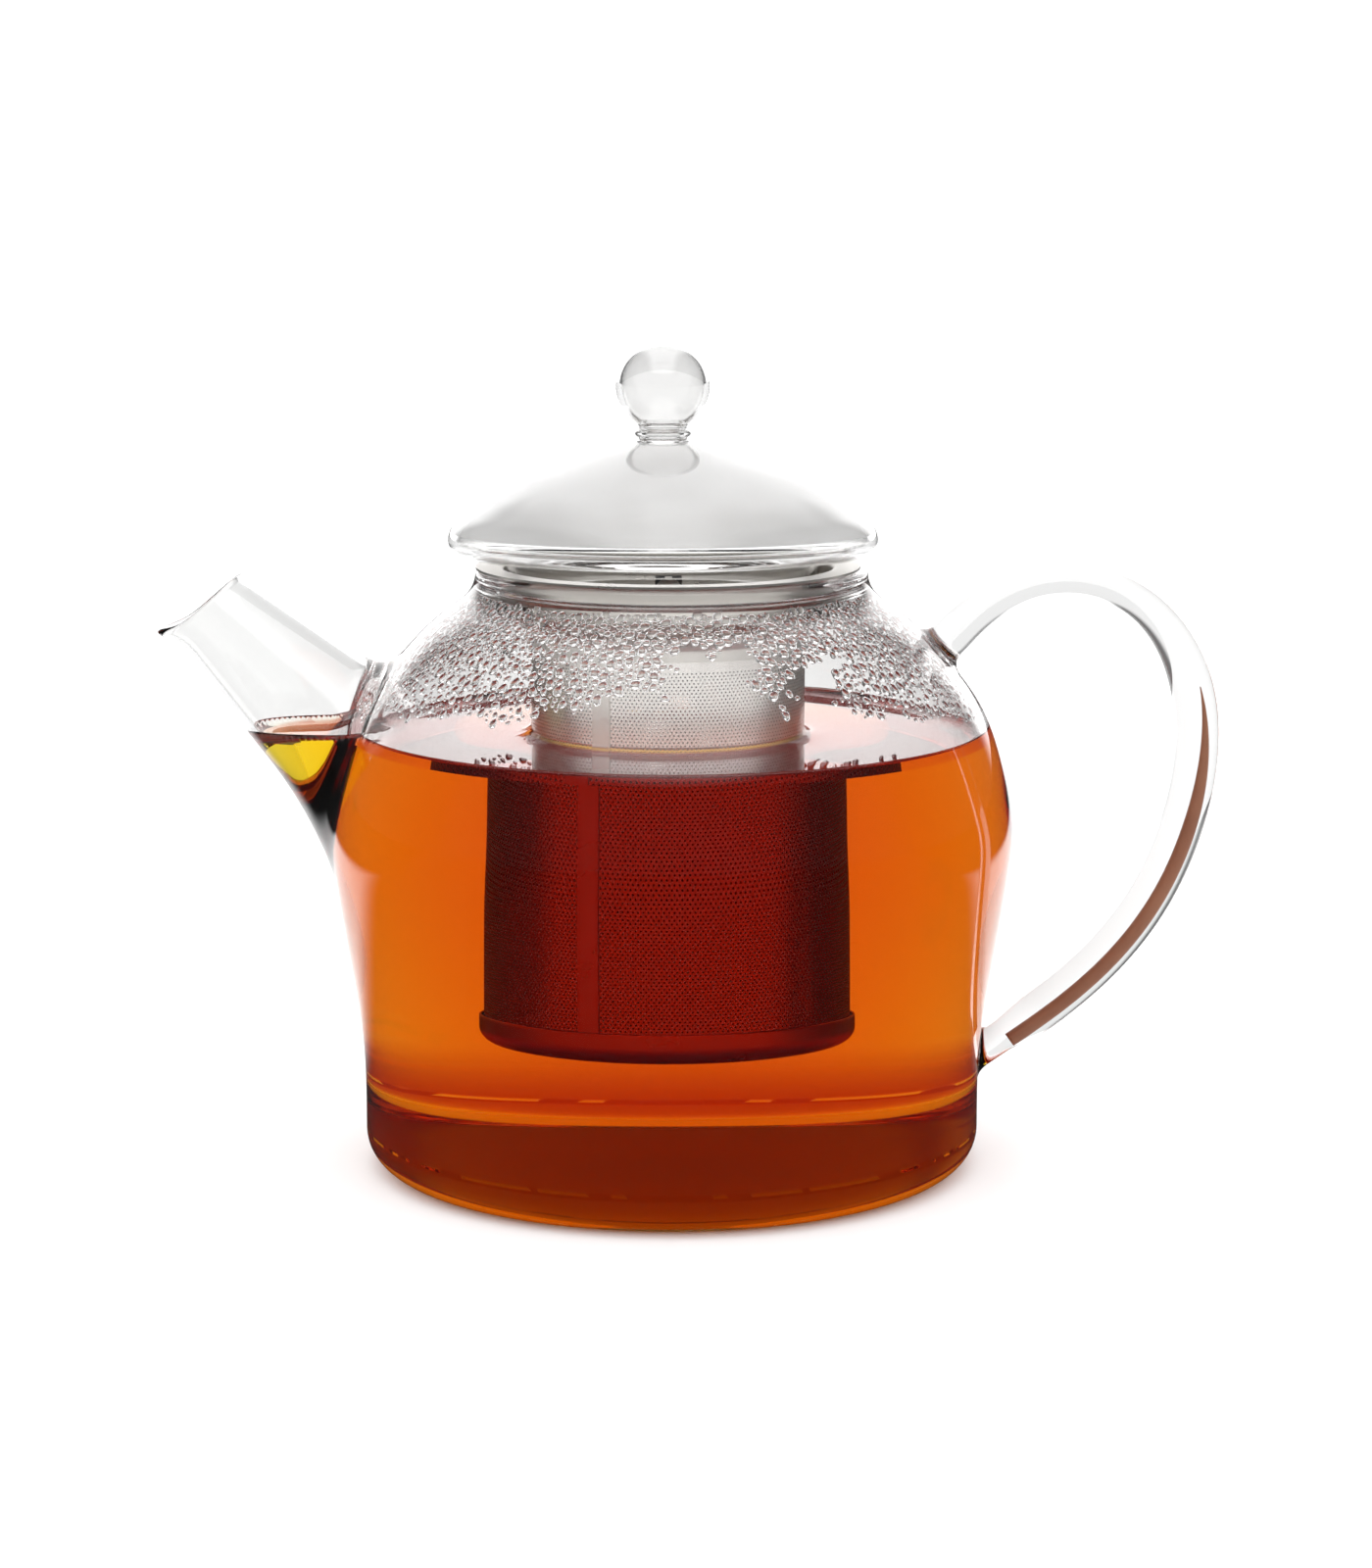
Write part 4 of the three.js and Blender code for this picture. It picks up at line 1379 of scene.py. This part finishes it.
def make_lid(clear, misted):
    """The lid: its skirt, its dome and its hollow ball, drawn out of one piece of glass."""
    curve = spline(LID_OUTLINE, 90, end=(-0.9, -0.5))[::-1]
    skirt_inner = SKIRT_RADIUS - SKIRT_WALL
    round_radius = SKIRT_WALL / 2
    skirt_end = (SKIRT_RADIUS - round_radius, SKIRT_BOTTOM + round_radius)
    seat_corner = 1.2
    neck_angle = math.degrees(math.asin(NECK_RADIUS / KNOB_RADIUS))
    bore = NECK_RADIUS - KNOB_WALL
    bore_angle = math.degrees(math.asin(bore / (KNOB_RADIUS - KNOB_WALL)))
    bead_low = BEAD_HEIGHT - BEAD_RADIUS
    outside = chain(
        arc(skirt_end, round_radius, 180, 360, 10),
        line((SKIRT_RADIUS, skirt_end[1]), (SKIRT_RADIUS, LID_BOTTOM - seat_corner), 8),
        arc((SKIRT_RADIUS + seat_corner, LID_BOTTOM - seat_corner), seat_corner, 180, 90, 5),
        line((SKIRT_RADIUS + seat_corner, LID_BOTTOM), (curve[0][0] - 0.6, LID_BOTTOM), 6),
        curve[2:],
        spline([curve[-1], (6.2, 160.9), (NECK_RADIUS + 0.15, bead_low)], 6, end=(0, 1)),
        arc((NECK_RADIUS + 0.15, BEAD_HEIGHT), BEAD_RADIUS * 0.85, -80, 80, 8),
        arc((0, KNOB_CENTRE), KNOB_RADIUS, neck_angle - 90, 90, 48),
    )
    dome_inside = offset(curve, -LID_WALL)
    seat_top = LID_BOTTOM + LID_WALL
    dome_inside = dome_inside[dome_inside[:, 1] > seat_top + 0.7]
    dome_inside = dome_inside[dome_inside[:, 0] > bore + 2.5]
    last = dome_inside[-1]
    inner_knob = arc((0, KNOB_CENTRE), KNOB_RADIUS - KNOB_WALL, 90, bore_angle - 90, 40)
    flare = spline([inner_knob[-1], (bore, 161.9), (bore + 0.6, 159.0), last], 14, start=(0, -1))
    inside = chain(
        inner_knob,
        flare[1:],
        dome_inside[::-1],
        line((LID_SEAT_INNER + 5.5, seat_top), (skirt_inner + 1, seat_top - 0.1), 6),
        arc((skirt_inner + 1, seat_top - 1.1), 1, 90, 180, 4),
        line((skirt_inner, seat_top - 1.1), (skirt_inner, skirt_end[1]), 8),
    )
    surface = Surface()
    surface.turned(chain(outside, inside)[:-1], LID_SEGMENTS, closes=True)
    mark_mist(surface)
    hinge = (0, LID_OUTLINE[-1][0], LID_BOTTOM)
    cosine, sine = math.cos(LID_TILT), math.sin(LID_TILT)
    turn = np.array(((1, 0, 0), (0, cosine, -sine), (0, sine, cosine)))
    surface.points = (surface.points - hinge) @ turn + hinge
    new_piece(
        "lid_glass", surface, (clear, misted), "lid",
        ("lid_dome", "lid_skirt", "lid_neck_bead", "lid_knob"), LID_X,
    )


def mark_mist(surface):
    """Puts the faces of the inside of the dome in the second zone."""
    dome = np.array(LID_OUTLINE)
    for quads, zones in zip(surface.faces, surface.zones):
        middle = surface.points[quads].mean(axis=1)
        radius = np.hypot(middle[:, 0], middle[:, 1])
        under = middle[:, 2] < np.interp(radius, dome[:, 0], dome[:, 1]) - LID_WALL * 0.5
        zones[under & (middle[:, 2] > LID_BOTTOM + LID_WALL + 1) & (radius > 6)] = 1


# ---------------------------------------------------------------- stage, lights and camera


def light_path(tree, name):
    """What kind of ray this is, or how often it was mirrored or went through a surface."""
    return tree.nodes.new("ShaderNodeLightPath").outputs[name]


def mirrored(tree):
    """1 on a path that an outermost surface has mirrored, else 0."""
    outside = math_node(tree, "LESS_THAN", light_path(tree, "Transmission Depth"), 0.5)
    return times(tree, above(tree, light_path(tree, "Glossy Depth"), 0.5), outside)


def mirrored_within(tree):
    """1 on a path that the steel or a far wall has mirrored, seen through the glass, else 0."""
    within = above(tree, light_path(tree, "Transmission Depth"), 2.5)
    return times(tree, above(tree, light_path(tree, "Glossy Depth"), 0.5), within)


def submerged(tree):
    """1 on a path that has gone through tea, which takes five surfaces or more, else 0."""
    return above(tree, light_path(tree, "Transmission Depth"), 4.5)


def make_floor():
    """A pale sheet for the view.

    Light that reaches it by way of the teapot finds it dark at the sides and in front, as if the
    sheet lay on a dark table. Where that light has come through the tea, the floor under, behind
    and close by the pot is painted dark red: a painted shadow, tinted by the tea.
    """
    mesh = bpy.data.meshes.new("floor")
    corners = [(x * FLOOR_SIZE, y * FLOOR_SIZE, 0) for x, y in ((-1, -1), (1, -1), (1, 1), (-1, 1))]
    mesh.from_pydata(corners, [], [(0, 1, 2, 3)])
    floor = bpy.data.objects.new("floor", mesh)
    bpy.context.scene.collection.objects.link(floor)
    floor.location.z = FLOOR_HEIGHT
    material, tree, shader = new_material("pale_floor", Roughness=0.9, Specular_IOR_Level=0)
    position = tree.nodes.new("ShaderNodeNewGeometry").outputs["Position"]
    place = coordinates(tree, position)
    aside = size_of(tree, place["X"])
    beside = ramp(tree, times(tree, aside, mirrored(tree)), *SHEET_SIDE)
    near = times(tree, ramp(tree, place["Y"], *SHEET_NEAR), mirrored(tree))
    off_sheet = larger(tree, larger(tree, beside, ramp(tree, place["Y"], *SHEET_FRONT)), near)
    indirect = math_node(tree, "SUBTRACT", 1, light_path(tree, "Is Camera Ray"))
    dark = mixed(tree, mirrored(tree), TABLE, TABLE_MIRRORED)
    value = mixed(tree, times(tree, off_sheet, indirect), PALE, dark)
    ahead = mixed(tree, ramp(tree, place["Y"], *AHEAD), TABLE_WITHIN, PALE)
    value = mixed(tree, mirrored_within(tree), value, ahead)
    radius = tree.nodes.new("ShaderNodeVectorMath")
    radius.operation = "LENGTH"
    tree.links.new(position, radius.inputs[0])
    under = ramp(tree, radius.outputs["Value"], (BASE_RADIUS + 8) / 1000, (BASE_RADIUS - 3) / 1000)
    shadow = times(tree, ramp(tree, place["Y"], *SHADOW_END), ramp(tree, aside, *SHADOW_SIDE))
    shadow = times(tree, shadow, above(tree, place["Y"], 0))
    close = times(tree, ramp(tree, radius.outputs["Value"], *CLOSE_BY), mirrored_within(tree))
    # Painted shadow: dark red on the floor under, behind and close by the pot, for light that has come
    # through the tea.
    painted_tea_shadow = times(tree, larger(tree, larger(tree, under, shadow), close), submerged(tree))
    shade = tree.nodes.new("ShaderNodeCombineColor")
    for channel, shadow_level in zip(CHANNELS, UNDER_POT):
        tree.links.new(mixed(tree, painted_tea_shadow, value, shadow_level), shade.inputs[channel])
    tree.links.new(shade.outputs["Color"], shader.inputs["Base Color"])
    mesh.materials.append(material)


def make_world():
    """White for the view and for the floor.

    Light that comes by way of the teapot finds a white panel behind it and a softbox above it. What
    is around them is near black, grey or bright, by how that light came.
    """
    world = bpy.data.worlds.new("studio")
    bpy.context.scene.world = world
    world.use_nodes = True
    tree = world.node_tree
    background = tree.nodes["Background"]
    way = coordinates(tree, tree.nodes.new("ShaderNodeTexCoord").outputs["Generated"])
    aside = size_of(tree, way["X"])
    behind = ramp(tree, math_node(tree, "SUBTRACT", way["Y"], aside), *PANEL_EDGE)
    over = times(tree, ramp(tree, way["Z"], *SOFTBOX_EDGE), ramp(tree, aside, *SOFTBOX_WIDTH))
    bounced = above(tree, light_path(tree, "Glossy Depth"), 0.5)
    deep = submerged(tree)
    front = mixed(tree, ramp(tree, way["Y"], *FRONT_EDGE), SIDES_WITHIN, FRONT_WITHIN)
    left = times(tree, ramp(tree, way["X"], *LEFT_EDGE), deep)
    front = mixed(tree, left, front, 1.0)
    reflected = mixed(tree, mirrored_within(tree), SURROUNDINGS, front)
    through = mixed(tree, deep, SURROUNDINGS_THROUGH, SURROUNDINGS_TEA)
    around = mixed(tree, bounced, through, reflected)
    bounced_panel = mixed(tree, deep, PANEL_MIRRORED, PANEL_SUBMERGED)
    panel = mixed(tree, behind, around, mixed(tree, bounced, PANEL, bounced_panel))
    studio = mixed(tree, over, panel, SOFTBOX)
    diffuse = above(tree, light_path(tree, "Diffuse Depth"), 0.5)
    direct = larger(tree, light_path(tree, "Is Camera Ray"), diffuse)
    entered = above(tree, light_path(tree, "Transmission Depth"), 0.5)
    strength = mixed(tree, direct, studio, mixed(tree, entered, WHITE, WHITE_THROUGH))
    tree.links.new(strength, background.inputs["Strength"])
    background.inputs["Color"].default_value = (1, 1, 1, 1)


def make_softbox():
    """A soft area light above the teapot, aimed at its middle."""
    light = bpy.data.lights.new("softbox_top", "AREA")
    light.shape = "RECTANGLE"
    light.size, light.size_y = 0.8, 0.6
    light.energy = 1
    lamp = bpy.data.objects.new("softbox_top", light)
    bpy.context.scene.collection.objects.link(lamp)
    lamp.location = (0, -0.1, 1.1)
    aim = Vector((0, 0, 0.09)) - Vector((0, -0.1, 1.1))
    lamp.rotation_euler = aim.to_track_quat("-Z", "Y").to_euler()
    lamp.visible_transmission = False
    lamp.visible_camera = False


def make_camera():
    camera = bpy.data.cameras.new("camera")
    camera.sensor_width = 36
    camera.lens = CAMERA_LENS
    camera.clip_start = 0.01
    seat = bpy.data.objects.new("camera", camera)
    bpy.context.scene.collection.objects.link(seat)
    seat.location = CAMERA_PLACE
    seat.rotation_euler = (math.radians(90 - CAMERA_DOWN), 0, 0)
    bpy.context.scene.camera = seat


def set_rendering():
    """Enough bounces for nested glass and tea, and a plain view."""
    scene = bpy.context.scene
    scene.view_settings.view_transform = "Standard"
    cycles = scene.cycles
    cycles.max_bounces = 40
    cycles.transmission_bounces = 40
    cycles.glossy_bounces = 12
    cycles.transparent_max_bounces = 24
    cycles.blur_glossy = 0.3
    cycles.use_denoising = True


# ---------------------------------------------------------------- the teapot

clear_glass = glass_material("clear_glass", (0.95, 0.951, 0.947), 40, 0.00003)
wet_glass = glass_material("wet_glass", (1, 1, 1), 40, 0.00003, GLASS_IOR / WATER_IOR)
lid_glass = glass_material("lid_glass", (0.93, 0.928, 0.924), 45, 0.00004)
satin_steel = steel_material("satin_steel", (0.66, 0.63, 0.59), 0.34, 0.24, (0.2, 0.2, 3), 0.00001)
basket_steel = steel_material("perforated_steel", (0.84, 0.81, 0.78), 0.3, 0.2, (3, 3, 0.2), 0.00001)
# The inside of the basket's sheet and the walls of its holes take a dark copy of the steel: painted
# shade.
shaded_inner_steel = steel_material("shaded_inner_steel", (0.16, 0.14, 0.12), 0.6, 0.45, (3, 3, 0.2), 0.00001)
water = glass_material("water_drops", (1, 1, 1), 700, 0.00003, WATER_IOR)

make_pot(clear_glass, wet_glass)
make_painted_light_stripe(light_stripe_material())
make_tea(tea_material())
make_condensation(water)
make_collar(satin_steel, shaded_material())
make_basket_wall(basket_steel, shaded_inner_steel)
make_seam(satin_steel)
make_cup(satin_steel)
make_leaves(leaf_material())
make_lid(lid_glass, misted_glass_material())
make_floor()
make_world()
make_softbox()
make_camera()
set_rendering()
